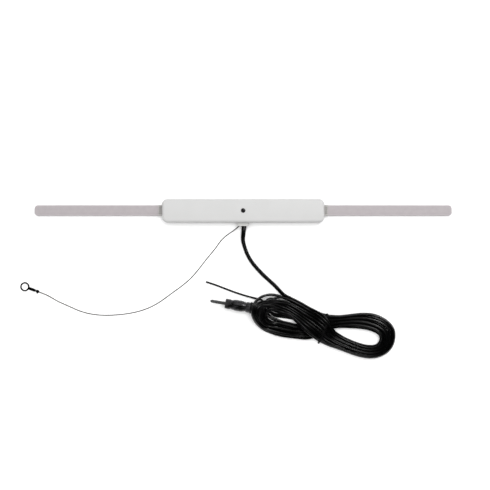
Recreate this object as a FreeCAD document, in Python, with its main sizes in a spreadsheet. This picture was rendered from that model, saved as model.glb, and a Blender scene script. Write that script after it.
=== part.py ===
"""Amplified stick-on dipole antenna for a windscreen, with its coax, power and ground leads.

Frame, in millimetres: the origin is on the adhesive back, under the middle of the housing. +X runs along the
dipole, +Z points out of the front cover, and the leads leave the housing on its -Y side. The back faces and the
leads all lie on the plane z = 0.
"""

import FreeCAD
import Part
import Sketcher

import math
import os
import re

from FreeCAD import Placement, Rotation, Vector

DOC = FreeCAD.newDocument("windscreen_antenna")

# Driving dimensions. They go into the sheet, and every sub-part is bound to the sheet.
SIZES = {
    # housing
    "housing_length": 160.8,
    "housing_width": 23.2,
    "housing_corner": 5.0,
    "tape_thickness": 1.0,
    "wall": 1.6,
    "rear_height": 4.2,
    "front_height": 7.5,
    "crown_rise": 0.8,
    "front_round": 2.6,
    "rear_round": 0.8,
    "lip_height": 1.2,
    "lip_thickness": 0.9,
    "fit_gap": 0.1,
    "seat_gap": 0.1,
    "weld": 0.02,
    # cover screws, at two opposite corners of the housing
    "screw_from_middle": 66.0,
    "screw_offset": 6.2,
    "screw_shank": 2.5,
    "screw_head": 5.2,
    "screw_head_height": 1.4,
    "screw_length": 8.0,
    "screw_point": 1.2,
    "screw_chamfer": 0.4,
    "head_gap": 0.3,
    "shank_gap": 0.2,
    "recess_length": 2.6,
    "recess_width": 0.6,
    "recess_depth": 0.9,
    "post_diameter": 5.6,
    "post_wall": 1.0,
    "thread_gap": 0.05,
    "tape_margin": 3.0,
    # circuit board
    "board_length": 116.0,
    "board_width": 15.0,
    "board_thickness": 1.2,
    "standoff_height": 2.4,
    "standoff_diameter": 4.4,
    "standoff_from_middle": 50.0,
    "standoff_offset": 5.0,
    "board_screw_head": 3.6,
    "board_screw_shank": 1.9,
    "board_screw_rim": 0.7,
    "board_screw_dome": 0.6,
    "cable_notch_width": 13.0,
    "cable_notch_depth": 3.4,
    # parts on the board
    "led_diameter": 3.0,
    "led_rim": 0.4,
    "led_rim_height": 0.8,
    "lead_size": 0.5,
    "leg_pitch": 1.27,
    "leg_tail": 0.8,
    "transistor_diameter": 4.6,
    "transistor_height": 4.2,
    "transistor_lift": 0.6,
    "transistor_flat": 0.8,
    "can_diameter": 5.0,
    "can_height": 4.6,
    "disc_diameter": 4.2,
    "disc_thickness": 1.6,
    "disc_lift": 0.3,
    "disc_leg_height": 1.2,
    "capacitor_leg_pitch": 2.0,
    "resistor_diameter": 1.8,
    "resistor_length": 5.0,
    "resistor_lift": 0.2,
    "resistor_bend": 1.6,
    "choke_diameter": 3.0,
    "choke_length": 8.0,
    "choke_bare_end": 1.0,
    "choke_from_middle": 46.0,
    "winding_wire": 0.5,
    "winding_gap": 0.1,
    "solder_diameter": 1.7,
    "solder_height": 0.9,
    # indicator lens
    "lens_diameter": 4.4,
    "lens_flange": 6.4,
    "lens_flange_height": 0.8,
    "lens_dome": 0.45,
    # dipole strips and their flexible necks
    "element_length": 123.4,
    "element_width": 10.4,
    "element_thickness": 3.0,
    "element_corner": 3.2,
    "element_edge": 0.7,
    "element_offset": 0.7,
    "element_tape_width": 8.0,
    "element_tape_inset": 3.0,
    "bead_spacing": 4.2,
    "bead_width": 1.1,
    "bead_height": 0.35,
    "bead_from_tip": 2.9,
    "conductor_diameter": 0.9,
    "neck_length": 4.3,
    "neck_width": 10.8,
    "neck_slot_length": 2.6,
    "neck_slot_width": 1.0,
    "neck_slot_depth": 0.9,
    "neck_slot_pitch": 2.07,
    "anchor_depth": 5.4,
    "anchor_flange": 3.0,
    "anchor_flange_width": 13.2,
    "anchor_flange_height": 3.2,
    # cable boss
    "boss_width": 11.7,
    "boss_length": 3.4,
    "boss_height": 6.4,
    "boss_neck_width": 9.8,
    "boss_lip": 0.4,
    "boss_flange": 1.5,
    "boss_flange_gap": 0.3,
    "boss_round": 0.9,
    # leads
    "coax_diameter": 2.7,
    "power_diameter": 1.9,
    "ground_diameter": 1.0,
    "coax_exit_height": 5.0,
    "power_exit_height": 3.7,
    "ground_exit_height": 3.7,
    "tail_reach": 1.9,
    # hank and its tie
    "hank_height": 8.0,
    "tie_width": 2.2,
    "tie_thickness": 0.8,
    # ring terminal
    "ring_outside": 9.2,
    "ring_hole": 6.4,
    "ring_thickness": 0.8,
    "tongue_overlap": 0.6,
    "tongue_length": 3.2,
    "tongue_width": 2.6,
    "barrel_start": 2.4,
    "barrel_length": 4.4,
    "barrel_outside": 2.8,
    "barrel_height": 1.4,
    "grip_start": 8.4,
    "grip_length": 2.6,
    "floor_width": 1.6,
    "floor_thickness": 0.6,
    "tab_length": 1.4,
    # antenna plug
    "pin_diameter": 3.2,
    "pin_reach": 15.2,
    "pin_tip_length": 1.4,
    "pin_tip_drop": 1.1,
    "pin_shank": 2.4,
    "pin_anchor": 1.0,
    "collar_diameter": 9.8,
    "collar_length": 5.0,
    "collar_wall": 1.0,
    "collar_chamfer": 0.4,
    "leaf_length": 16.5,
    "leaf_diameter": 8.8,
    "leaf_bulge": 1.0,
    "leaf_thickness": 0.5,
    "leaf_slot": 1.0,
    "leaf_root": 1.0,
    "leaf_flat": 6.0,
    "core_gap": 0.3,
    "cable_socket": 4.0,
    "rear_ring_length": 3.5,
    "rear_ring_diameter": 10.2,
    "boot_diameter": 11.6,
    "boot_length": 13.8,
    "boot_tip_diameter": 5.6,
    "boot_straight": 8.3,
    "boot_chamfer": 0.5,
    "groove_start": 1.5,
    "groove_pitch": 2.0,
    "groove_width": 1.0,
    "groove_depth": 0.5,
    "boot_gap": 0.4,
}

# Heights that several sub-parts share, as expressions of the sheet's cells.
BASE_TOP = "(tape_thickness + wall)"
PARTING = "(tape_thickness + rear_height)"
BOARD_BOTTOM = f"({BASE_TOP} + standoff_height)"
BOARD_TOP = f"({BOARD_BOTTOM} + board_thickness)"
SHOULDER = f"({PARTING} + front_height)"
CROWN = f"({SHOULDER} + crown_rise)"
ROOF = f"({CROWN} - wall)"
LEAD_FOOT = f"({BOARD_BOTTOM} - leg_tail)"
ELEMENT_START = "(housing_length / 2 + neck_length)"
ELEMENT_MIDDLE = "(tape_thickness + element_thickness / 2)"
BOSS_FACE = "(0 - housing_width / 2 - boss_length)"
TAIL_END = "(0 - housing_width / 2 + wall + tail_reach)"

# Stations along the plug, from the tip of its pin.
COLLAR_END = "(pin_reach + collar_length)"
LEAF_END = f"({COLLAR_END} + leaf_length)"
SHELL_END = f"({LEAF_END} + rear_ring_length)"

# Where the loose ends lie, and where the leads leave the boss.
PLUG_TIP = (-32.8, -89.4)
PLUG_TURN = -9.74
RING_CENTRE = (-218.0, -75.4)
RING_TURN = -19.7
COAX_X = -0.4
POWER_X = 2.2
GROUND_X = -4.2

# The hank is two loops, each between two circles: x, y, radius.
LEFT_BEND = (28.5, -103.0, 20.5)
WAIST = (76.0, -115.5, 14.0)
RIGHT_BEND = (129.0, -124.0, 23.0)
HOLE_NARROW_END = (93.0, -118.0, 2.0)
HOLE_WIDE_END = (127.0, -126.0, 7.6)
TIE_X = 80.5
TIE_SPAN = (-129.0, -103.0)

NODES = []


# ---------------------------------------------------------------- the sheet and what is bound to it


def make_sheet():
    sheet = DOC.addObject("Spreadsheet::Sheet", "sizes")
    for row, (alias, size) in enumerate(SIZES.items(), start=1):
        sheet.set(f"A{row}", alias)
        sheet.set(f"B{row}", str(size))
        sheet.setAlias(f"B{row}", alias)
    DOC.recompute()
    return sheet


SHEET = make_sheet()


def from_sheet(text):
    """An expression whose plain words are cells of the sheet."""
    return re.sub(r"[a-z][a-z_]+", lambda word: "sizes." + word.group(0), str(text))


def value(text):
    """An expression's value now, for geometry that is drawn before its constraints are bound."""
    return float(SHEET.evalExpression(from_sheet(text)))


def bind(item, path, text):
    item.setExpression(path, from_sheet(text))


def place(item, x="0", y="0", z="0"):
    for axis, text in zip("xyz", (x, y, z)):
        bind(item, f"Placement.Base.{axis}", text)
    return item


def node(item, name):
    """Marks a finished sub-part: its label is its node's name."""
    item.Label = name
    NODES.append(item)
    return item


# ---------------------------------------------------------------- primitives and booleans


def block(name, sides, middle, bottom):
    """A box with these side lengths, centred on middle in plan, standing at height bottom."""
    solid = DOC.addObject("Part::Box", name)
    for path, side in zip(("Length", "Width", "Height"), sides):
        bind(solid, path, side)
    corner = [f"({centre}) - ({side}) / 2" for centre, side in zip(middle, sides)]
    return place(solid, *corner, bottom)


def rod(name, diameter, length, start, along="z"):
    """A cylinder from start, along one of the axes."""
    turns = {
        "x": Rotation(Vector(0, 1, 0), 90),
        "y": Rotation(Vector(1, 0, 0), -90),
        "z": Rotation(),
    }
    solid = DOC.addObject("Part::Cylinder", name)
    solid.Placement = Placement(Vector(), turns[along])
    bind(solid, "Radius", f"({diameter}) / 2")
    bind(solid, "Height", length)
    return place(solid, *start)


def fuse(name, solids):
    whole = DOC.addObject("Part::MultiFuse", name)
    whole.Shapes = solids
    return whole


def cut(name, base, tool):
    rest = DOC.addObject("Part::Cut", name)
    rest.Base = base
    rest.Tool = tool
    return rest


def group(name, solids):
    """Separate solids of one kind, kept as one sub-part."""
    return node(fuse(name, solids), name)


# ---------------------------------------------------------------- sketches and features of a body


def new_body(name):
    return DOC.addObject("PartDesign::Body", name)


def sketch_on(body, plane, height="0"):
    drawing = body.newObject("Sketcher::SketchObject", body.Name + "_sketch")
    face = next(part for part in body.Origin.OriginFeatures if part.Role == plane)
    drawing.AttachmentSupport = [(face, "")]
    drawing.MapMode = "FlatFace"
    bind(drawing, "AttachmentOffset.Base.z", height)
    return drawing


def constrain(drawing, kind, geometry, text):
    """Adds one dimension to a sketch and binds it to the sheet."""
    index = drawing.addConstraint(Sketcher.Constraint(kind, *geometry, value(text)))
    name = f"{kind}_{index}"
    drawing.renameConstraint(index, name)
    bind(drawing, f"Constraints.{name}", text)


def draw_outline(drawing, corners, arcs=None):
    """A closed outline through corners, which are pairs of expressions. arcs gives a side's radius, if it is bent."""
    arcs = arcs or {}
    first = drawing.GeometryCount
    points = [Vector(value(x), value(y), 0) for x, y in corners]
    for side, start in enumerate(points):
        end = points[(side + 1) % len(points)]
        if side in arcs:
            drawing.addGeometry(outward_arc(start, end, value(arcs[side])))
        else:
            drawing.addGeometry(Part.LineSegment(start, end))
    for side in range(len(points)):
        meets = first + (side + 1) % len(points)
        drawing.addConstraint(Sketcher.Constraint("Coincident", first + side, 2, meets, 1))
    for side, (x, y) in enumerate(corners):
        constrain(drawing, "DistanceX", (-1, 1, first + side, 1), x)
        constrain(drawing, "DistanceY", (-1, 1, first + side, 1), y)
    for side, radius in arcs.items():
        constrain(drawing, "Radius", (first + side,), radius)


def outward_arc(start, end, radius):
    """An arc that bulges to the right of the way from start to end, which is outward on a left-hand outline."""
    chord = end - start
    out = Vector(chord.y, -chord.x, 0).normalize()
    rise = radius - math.sqrt(radius**2 - (chord.Length / 2) ** 2)
    return Part.Arc(start, (start + end) / 2 + out * rise, end)


def draw_circle(drawing, x, y, diameter):
    index = drawing.addGeometry(Part.Circle(Vector(value(x), value(y), 0), Vector(0, 0, 1), value(diameter) / 2))
    constrain(drawing, "DistanceX", (-1, 1, index, 3), x)
    constrain(drawing, "DistanceY", (-1, 1, index, 3), y)
    constrain(drawing, "Diameter", (index,), diameter)


def pad(body, drawing, length, symmetric=False):
    feature = body.newObject("PartDesign::Pad", body.Name + "_pad")
    feature.Profile = drawing
    if symmetric:
        feature.SideType = "Symmetric"
    bind(feature, "Length", length)
    DOC.recompute()
    return feature


def pocket(body, drawing, depth, reverse=False):
    """Cuts a sketch's outline away, and makes sure that something was cut."""
    before = body.Shape.Volume
    feature = body.newObject("PartDesign::Pocket", body.Name + "_pocket")
    feature.Profile = drawing
    feature.Reversed = reverse
    bind(feature, "Length", depth)
    DOC.recompute()
    if body.Shape.Volume > before - 0.01:
        raise RuntimeError(f"{feature.Name} cut nothing")
    return feature


def revolve(body, drawing, axis):
    feature = body.newObject("PartDesign::Revolution", body.Name + "_revolution")
    feature.Profile = drawing
    feature.ReferenceAxis = (drawing, [axis])
    feature.Angle = 360
    DOC.recompute()
    return feature


def dress(body, kind, wanted, size):
    """A Fillet or Chamfer on the edges of the body's last feature whose middle satisfies wanted."""
    base = body.Tip
    edges = [
        f"Edge{number}"
        for number, edge in enumerate(base.Shape.Edges, start=1)
        if wanted(edge, edge.CenterOfMass)
    ]
    feature = body.newObject(f"PartDesign::{kind}", body.Name + "_" + kind.lower())
    feature.Base = (base, edges)
    bind(feature, "Radius" if kind == "Fillet" else "Size", size)
    DOC.recompute()
    return feature


def turned(name, profile, upright=True):
    """A body of revolution. The profile's corners are (radius, height) pairs if upright, else (distance, radius)."""
    body = new_body(name)
    drawing = sketch_on(body, "XZ_Plane" if upright else "XY_Plane")
    draw_outline(drawing, profile)
    revolve(body, drawing, "V_Axis" if upright else "H_Axis")
    return body


def rectangle(length, width, middle=("0", "0")):
    """The four corners of a rectangle, left-hand way round."""
    x, y = middle
    return [
        (f"{x} - ({length}) / 2", f"{y} - ({width}) / 2"),
        (f"{x} + ({length}) / 2", f"{y} - ({width}) / 2"),
        (f"{x} + ({length}) / 2", f"{y} + ({width}) / 2"),
        (f"{x} - ({length}) / 2", f"{y} + ({width}) / 2"),
    ]


def upright_edge(edge, middle):
    """A straight vertical edge."""
    if edge.Curve.TypeId != "Part::GeomLine":
        return False
    return abs(edge.tangentAt(edge.FirstParameter).z) > 0.99


# ---------------------------------------------------------------- leads


def rounded_path(points):
    """Straight runs joined by tangent arcs. Returns the wire and the arcs' radii.

    Each arc takes 0.45 of the shorter of its two runs, so it is as large as both allow.
    """
    corners = [Vector(*point) for point in points]
    edges = []
    radii = []
    start = corners[0]
    for before, corner, after in zip(corners, corners[1:], corners[2:]):
        arriving = corner - before
        leaving = after - corner
        setback = 0.45 * min(arriving.Length, leaving.Length)
        half_turn = arriving.getAngle(leaving) / 2
        arriving.normalize()
        leaving.normalize()
        radius = setback / math.tan(half_turn)
        inward = (leaving - arriving).normalize()
        middle = corner + inward * (radius / math.cos(half_turn) - radius)
        arc_start = corner - arriving * setback
        arc_end = corner + leaving * setback
        edges.append(Part.LineSegment(start, arc_start).toShape())
        edges.append(Part.Arc(arc_start, middle, arc_end).toShape())
        radii.append(radius)
        start = arc_end
    edges.append(Part.LineSegment(start, corners[-1]).toShape())
    return Part.Wire(edges), radii


def round_tube(points, diameter):
    """A solid of round section along a rounded path, its path's length and its smallest radius."""
    path, radii = rounded_path(points)
    direction = Vector(*points[1]) - Vector(*points[0])
    ring = Part.Circle(Vector(*points[0]), direction, diameter / 2).toShape()
    solid = path.makePipeShell([Part.Wire([ring])], True, True)
    expected = path.Length * math.pi * diameter**2 / 4
    if abs(solid.Volume - expected) > 0.01 * expected:
        raise RuntimeError(f"a tube of {diameter} mm has volume {solid.Volume:.1f}, not {expected:.1f}")
    return solid, path.Length, min(radii, default=math.inf)


def lead(name, points, diameter):
    """One lead's tube, as a sub-part."""
    solid, length, radius = round_tube(points, value(diameter))
    print(f"{name}: length {length:.1f} mm, smallest radius {radius:.1f} mm")
    feature = DOC.addObject("Part::Feature", name)
    feature.Shape = solid
    return node(feature, name)


def leads_tool(name, routes, diameter):
    """Several tubes in one shape, as a group or as the tool of a cut."""
    feature = DOC.addObject("Part::Feature", name)
    feature.Shape = Part.Compound([round_tube(points, value(diameter))[0] for points in routes])
    return feature


# ---------------------------------------------------------------- housing


def housing_blank(name, length, width, corner, bottom, side_height, rise):
    """A long block with rounded corners in plan and a crowned top."""
    body = new_body(name)
    drawing = sketch_on(body, "YZ_Plane")
    half = f"({width}) / 2"
    crown_radius = f"(({half})^2 + ({rise})^2) / (2 * ({rise}))"
    shoulder = f"({bottom}) + ({side_height})"
    corners = [
        (f"0 - {half}", bottom),
        (half, bottom),
        (half, shoulder),
        (f"0 - {half}", shoulder),
    ]
    draw_outline(drawing, corners, {2: crown_radius})
    pad(body, drawing, length, symmetric=True)
    dress(body, "Fillet", upright_edge, corner)
    return body


def make_front_cover():
    """The crowned shell, with the lens hole, two screw posts, end tongues over the necks and the boss opening."""
    outer = housing_blank(
        "front_outer", "housing_length", "housing_width", "housing_corner", PARTING, "front_height", "crown_rise"
    )
    shoulder = value(SHOULDER) - 0.01
    dress(outer, "Fillet", lambda edge, middle: middle.z > shoulder, "front_round")
    inner = housing_blank(
        "front_inner",
        "housing_length - 2 * wall",
        "housing_width - 2 * wall",
        "housing_corner - wall",
        f"{PARTING} - wall",
        "front_height",
        "crown_rise",
    )
    post_foot = f"({BASE_TOP} + wall)"
    solids = [cut("front_shell", outer, inner)]
    holes = []
    for side, name in ((-1, "left"), (1, "right")):
        at = (f"{side} * screw_from_middle", f"{-side} * screw_offset")
        post_height = f"{ROOF} - {post_foot} + wall / 8"
        solids.append(rod(f"{name}_post", "post_diameter", post_height, (*at, post_foot)))
        pilot_depth = "screw_length - wall + screw_chamfer"
        holes.append(rod(f"{name}_pilot", "screw_shank + 2 * thread_gap", pilot_depth, (*at, post_foot)))
        tongue_x = f"{side} * (housing_length / 2 - wall / 2)"
        tongue_foot = "(tape_thickness + element_thickness + fit_gap)"
        tongue_height = f"{PARTING} - {tongue_foot} + wall / 8"
        tongue_sides = ("wall", "neck_width - 2 * fit_gap", tongue_height)
        solids.append(block(f"{name}_tongue", tongue_sides, (tongue_x, "element_offset"), tongue_foot))
    holes.append(rod("lens_hole", "lens_diameter + 2 * fit_gap", "4 * wall", ("0", "0", f"{ROOF} - wall")))
    holes.append(boss_opening("front_boss_opening"))
    return node(cut("front_cover", fuse("front_solids", solids), fuse("front_holes", holes)), "front_cover")


def boss_opening(name):
    """The space that the boss's waist takes in the long wall."""
    sides = ("boss_neck_width + 2 * fit_gap", "2 * wall", "boss_height - wall + fit_gap")
    return block(name, sides, ("0", "0 - housing_width / 2 + wall / 2"), BASE_TOP)


def make_rear_cover():
    """The tray: plate, low walls, lip, standoffs, screw bosses, and the ribs that hold the necks' anchors."""
    tray = new_body("rear_tray")
    drawing = sketch_on(tray, "XY_Plane", "tape_thickness")
    draw_outline(drawing, rectangle("housing_length", "housing_width"))
    pad(tray, drawing, "rear_height")
    dress(tray, "Fillet", upright_edge, "housing_corner")
    foot = value("tape_thickness") + 0.01
    dress(tray, "Fillet", lambda edge, middle: middle.z < foot, "rear_round")

    inset = "(2 * wall + 2 * fit_gap)"
    lip = new_body("rear_lip")
    drawing = sketch_on(lip, "XY_Plane", BASE_TOP)
    draw_outline(drawing, rectangle(f"housing_length - {inset}", f"housing_width - {inset}"))
    pad(lip, drawing, "rear_height - wall + lip_height")
    dress(lip, "Fillet", upright_edge, "housing_corner - wall - fit_gap")

    hollow = new_body("rear_hollow")
    inset = "(2 * wall + 2 * fit_gap + 2 * lip_thickness)"
    drawing = sketch_on(hollow, "XY_Plane", BASE_TOP)
    draw_outline(drawing, rectangle(f"housing_length - {inset}", f"housing_width - {inset}"))
    pad(hollow, drawing, "rear_height + lip_height")
    dress(hollow, "Fillet", upright_edge, "housing_corner - wall - fit_gap - lip_thickness")

    shell = cut("rear_shell", fuse("rear_blank", [tray, lip]), hollow)
    solids = [shell]
    holes = [boss_flange_space()]
    for side, name in ((-1, "left"), (1, "right")):
        at = (f"{side} * screw_from_middle", f"{-side} * screw_offset")
        solids.append(rod(f"{name}_screw_boss", "post_diameter + 2 * post_wall", "wall", (*at, BASE_TOP)))
        foot = (*at, "tape_thickness")
        head_hole = rod(f"{name}_head_hole", "screw_head + 2 * head_gap", "wall", foot)
        shank_hole = rod(f"{name}_shank_hole", "screw_shank + 2 * shank_gap", "4 * wall", foot)
        post_space = f"{BASE_TOP} + wall"
        post_hole = rod(f"{name}_post_space", "post_diameter + 2 * fit_gap", "rear_height", (*at, post_space))
        holes += [head_hole, shank_hole, post_hole]
        holes.append(neck_notch(side, name))
        solids += anchor_ribs(side, name)
    holes.append(boss_opening("rear_boss_opening"))
    solids += board_standoffs()
    return node(cut("rear_cover", fuse("rear_solids", solids), fuse("rear_holes", holes)), "rear_cover")


def neck_notch(side, name):
    """The opening in an end wall and in the plate behind it that the neck drops into."""
    depth = "(anchor_depth + fit_gap)"
    middle = (f"{side} * (housing_length / 2 - {depth} / 2 + wall / 2)", "element_offset")
    sides = (f"{depth} + wall", "neck_width + 2 * fit_gap", "rear_height + lip_height + tape_thickness")
    return block(f"{name}_notch", sides, middle, "0")


def anchor_ribs(side, name):
    """Two ribs outside each anchor flange, one on each side of the neck, that take the pull on the strip."""
    x = f"{side} * (housing_length / 2 - anchor_depth + wall / 2 + fit_gap)"
    ribs = []
    for way in (-1, 1):
        y = f"element_offset + {way} * (neck_width / 2 + fit_gap + wall / 2)"
        sides = ("wall", "wall", "anchor_flange_height")
        ribs.append(block(f"{name}_rib_{'low' if way < 0 else 'high'}", sides, (x, y), BASE_TOP))
    return ribs


def board_corners():
    """The four standoff positions, as (x, y) expressions."""
    return [
        (f"{side} * standoff_from_middle", f"{way} * standoff_offset")
        for side in (-1, 1)
        for way in (-1, 1)
    ]


def board_screw_places():
    """Two of the four standoffs, at opposite corners, take a screw."""
    return [board_corners()[1], board_corners()[2]]


def board_standoffs():
    standoffs = []
    for number, (x, y) in enumerate(board_corners(), start=1):
        standoff = rod(f"standoff_{number}", "standoff_diameter", "standoff_height", (x, y, BASE_TOP))
        if (x, y) in board_screw_places():
            hole = rod(f"standoff_hole_{number}", "board_screw_shank", "standoff_height", (x, y, BASE_TOP))
            standoff = cut(f"drilled_standoff_{number}", standoff, hole)
        standoffs.append(standoff)
    return standoffs


def make_cover_screws():
    """Two pan-head screws that go in from the back."""
    screws = []
    head_bottom = f"({BASE_TOP} - screw_head_height)"
    for side, name in ((-1, "left"), (1, "right")):
        profile = [
            ("0", head_bottom),
            ("screw_head / 2 - screw_chamfer", head_bottom),
            ("screw_head / 2", f"{head_bottom} + screw_chamfer"),
            ("screw_head / 2", BASE_TOP),
            ("screw_shank / 2", BASE_TOP),
            ("screw_shank / 2", f"{BASE_TOP} + screw_length - screw_point"),
            ("0", f"{BASE_TOP} + screw_length"),
        ]
        screw = turned(f"{name}_cover_screw", profile)
        place(screw, f"{side} * screw_from_middle", f"{-side} * screw_offset")
        screws.append(cross_recess(screw, f"{name}_screw", side, head_bottom))
    return group("cover_screws", screws)


def cross_recess(screw, name, side, head_bottom):
    """A cross slot in the head of one cover screw."""
    at = (f"{side} * screw_from_middle", f"{-side} * screw_offset")
    arms = [
        block(f"{name}_arm_x", ("recess_length", "recess_width", "recess_depth"), at, head_bottom),
        block(f"{name}_arm_y", ("recess_width", "recess_length", "recess_depth"), at, head_bottom),
    ]
    return cut(f"{name}_recessed", screw, fuse(f"{name}_cross", arms))


def make_housing_tape():
    """The foam tape on the back, clear of the screw heads."""
    clear = "(screw_from_middle - screw_head / 2 - tape_margin)"
    sides = (f"2 * {clear}", "housing_width - 2 * tape_margin", "tape_thickness")
    tape = block("housing_tape", sides, ("0", "0"), "0")
    return node(tape, "housing_tape")


def make_lens():
    """The dark indicator lens, pressed up into the front cover from inside."""
    flange_top = f"({ROOF} - seat_gap)"
    profile = [
        ("0", f"{flange_top} - lens_flange_height"),
        ("lens_flange / 2", f"{flange_top} - lens_flange_height"),
        ("lens_flange / 2", flange_top),
        ("lens_diameter / 2", flange_top),
        ("lens_diameter / 2", f"{CROWN} - seat_gap"),
        ("lens_diameter / 4", f"{CROWN} - seat_gap + 0.75 * lens_dome"),
        ("0", f"{CROWN} - seat_gap + lens_dome"),
    ]
    return node(turned("led_lens", profile), "led_lens")


# ---------------------------------------------------------------- cable boss


def make_grommet():
    """The boss that the three leads leave by: a block outside, a waist in the wall and a flange inside."""
    outer = new_body("boss_block")
    drawing = sketch_on(outer, "XY_Plane", f"{BASE_TOP} - wall")
    middle = ("0", "0 - housing_width / 2 - boss_length / 2")
    draw_outline(drawing, rectangle("boss_width", "boss_length", middle))
    pad(outer, drawing, "boss_height + boss_lip")
    face = value(BOSS_FACE) + 0.01
    dress(outer, "Fillet", lambda edge, place: upright_edge(edge, place) and place.y < face, "boss_round")

    waist_y = "0 - housing_width / 2 + wall / 2"
    seat = f"({BASE_TOP} + weld)"
    waist_sides = ("boss_neck_width", "wall + weld", "boss_height - wall")
    waist = block("boss_waist", waist_sides, ("0", waist_y), seat)
    flange_y = "0 - housing_width / 2 + wall + boss_flange / 2"
    flange = block("boss_flange_block", ("boss_width", "boss_flange", "boss_height"), ("0", flange_y), seat)
    blank = fuse("boss_blank", [outer, waist, flange])
    reach = "boss_length + 3 * wall"
    bores = fuse(
        "boss_bores",
        [
            rod("coax_bore", "coax_diameter", reach, (COAX_X, BOSS_FACE, "coax_exit_height"), "y"),
            rod("power_bore", "power_diameter", reach, (POWER_X, BOSS_FACE, "power_exit_height"), "y"),
            rod("ground_bore", "ground_diameter", reach, (GROUND_X, BOSS_FACE, "ground_exit_height"), "y"),
        ],
    )
    return node(cut("cable_grommet", blank, bores), "cable_grommet")


def boss_flange_space():
    """The gap in the lip that the boss's inner flange sits in."""
    deep = "(boss_flange + fit_gap + lip_thickness)"
    sides = ("boss_width + 2 * boss_flange_gap", deep, "rear_height + lip_height")
    return block("boss_flange_space", sides, ("0", f"0 - housing_width / 2 + wall + {deep} / 2"), BASE_TOP)


def make_tails():
    """The three leads' ends inside the housing, from the boss's face to the board."""
    reach = f"{TAIL_END} - {BOSS_FACE}"
    coax = rod("coax_tail", "coax_diameter", reach, (COAX_X, BOSS_FACE, "coax_exit_height"), "y")
    node(coax, "coax_tail")
    power = rod("power_tail", "power_diameter", reach, (POWER_X, BOSS_FACE, "power_exit_height"), "y")
    node(power, "power_tail")
    ground = rod("ground_tail", "ground_diameter", reach, (GROUND_X, BOSS_FACE, "ground_exit_height"), "y")
    node(ground, "ground_tail")


def core_routes():
    """Where the stripped ends run from the tails up to the board's solder joints."""
    start = value(TAIL_END)
    top = value(BOARD_TOP)
    routes = []
    for x, height, end_x in (
        (COAX_X, value("coax_exit_height"), -4.6),
        (POWER_X, value("power_exit_height"), 5.4),
        (GROUND_X, value("ground_exit_height"), -8.4),
    ):
        knee = (x + 0.2 * (end_x - x), start + 1.8, height + 0.5 * (top + 1.8 - height))
        over = (x + 0.75 * (end_x - x), start + 4.6, top + 1.9)
        routes.append([(x, start, height), knee, over, (end_x, start + 6.0, top + 0.4)])
    return routes


# ---------------------------------------------------------------- dipole strips, necks and their wires


def turned_side(side):
    """A strip is drawn along +X. The left one is turned half round."""
    return Rotation(Vector(0, 0, 1), 0 if side > 0 else 180)


def on_side(item, side, z):
    """Puts a piece drawn from a strip's inner end where that strip is."""
    item.Placement = Placement(Vector(), turned_side(side))
    return place(item, f"{side} * {ELEMENT_START}", "element_offset", z)


def hairpin(height):
    """The conductor's route in its strip, drawn from the strip's inner end: out, across the tip and back."""
    half = value("bead_spacing / 2")
    tip = value("element_length - bead_from_tip")
    return [(0, half, height), (tip, half, height), (tip, -half, height), (0, -half, height)]


def make_sleeve(name, side):
    """A flat strip with a rounded tip and a raised U-shaped bead over its conductor."""
    body = new_body(f"{name}_strip")
    drawing = sketch_on(body, "XY_Plane")
    middle = ("element_length / 2", "0")
    draw_outline(drawing, rectangle("element_length", "element_width", middle))
    pad(body, drawing, "element_thickness")
    tip = value("element_length") - 0.01
    dress(body, "Fillet", lambda edge, place: upright_edge(edge, place) and place.x > tip, "element_corner")
    top = value("element_thickness") - 0.01
    dress(body, "Fillet", lambda edge, place: place.z > top and place.x > 0.01, "element_edge")

    drawing = sketch_on(body, "XY_Plane", "element_thickness - bead_height / 2")
    outer_y = "(bead_spacing / 2 + bead_width / 2)"
    inner_y = "(bead_spacing / 2 - bead_width / 2)"
    outer_x = "(element_length - bead_from_tip + bead_width / 2)"
    inner_x = "(element_length - bead_from_tip - bead_width / 2)"
    corners = [
        ("0", f"0 - {outer_y}"),
        (outer_x, f"0 - {outer_y}"),
        (outer_x, outer_y),
        ("0", outer_y),
        ("0", inner_y),
        (inner_x, inner_y),
        (inner_x, f"0 - {inner_y}"),
        ("0", f"0 - {inner_y}"),
    ]
    draw_outline(drawing, corners)
    pad(body, drawing, "1.5 * bead_height")

    channel = leads_tool(f"{name}_channel", [hairpin(value("element_thickness / 2"))], "conductor_diameter")
    sleeve = cut(f"{name}_element_sleeve", body, channel)
    return node(on_side(sleeve, side, "tape_thickness"), f"{name}_element_sleeve")


def make_conductor(name, side):
    wire = leads_tool(f"{name}_conductor", [hairpin(value("element_thickness / 2"))], "conductor_diameter")
    return node(on_side(wire, side, "tape_thickness"), f"{name}_element_conductor")


def make_element_tape(name, side):
    """The adhesive tape under a strip, a little shorter and narrower than the strip."""
    middle = (f"{side} * ({ELEMENT_START} + element_length / 2)", "element_offset")
    sides = ("element_length - 2 * element_tape_inset", "element_tape_width", "tape_thickness")
    return node(block(f"{name}_tape", sides, middle, "0"), f"{name}_element_tape")


def lead_routes(side):
    """The two wires from a strip's inner end, through the neck and up onto the end of the board."""
    outer = value(ELEMENT_START)
    end_face = value("housing_length / 2")
    board_end = value("board_length / 2")
    low = value(ELEMENT_MIDDLE)
    high = value(f"{BOARD_TOP} + conductor_diameter / 2")
    anchor = value("anchor_depth + anchor_flange")
    routes = []
    for way in (-1, 1):
        y = value("element_offset") + way * value("bead_spacing / 2")
        route = [
            (outer, low),
            (end_face - 0.7 * value("anchor_depth"), low),
            (end_face - anchor - 1.0, high),
            (board_end - 3.0, high),
        ]
        routes.append([(side * x, y, height) for x, height in route])
    return routes


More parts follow.
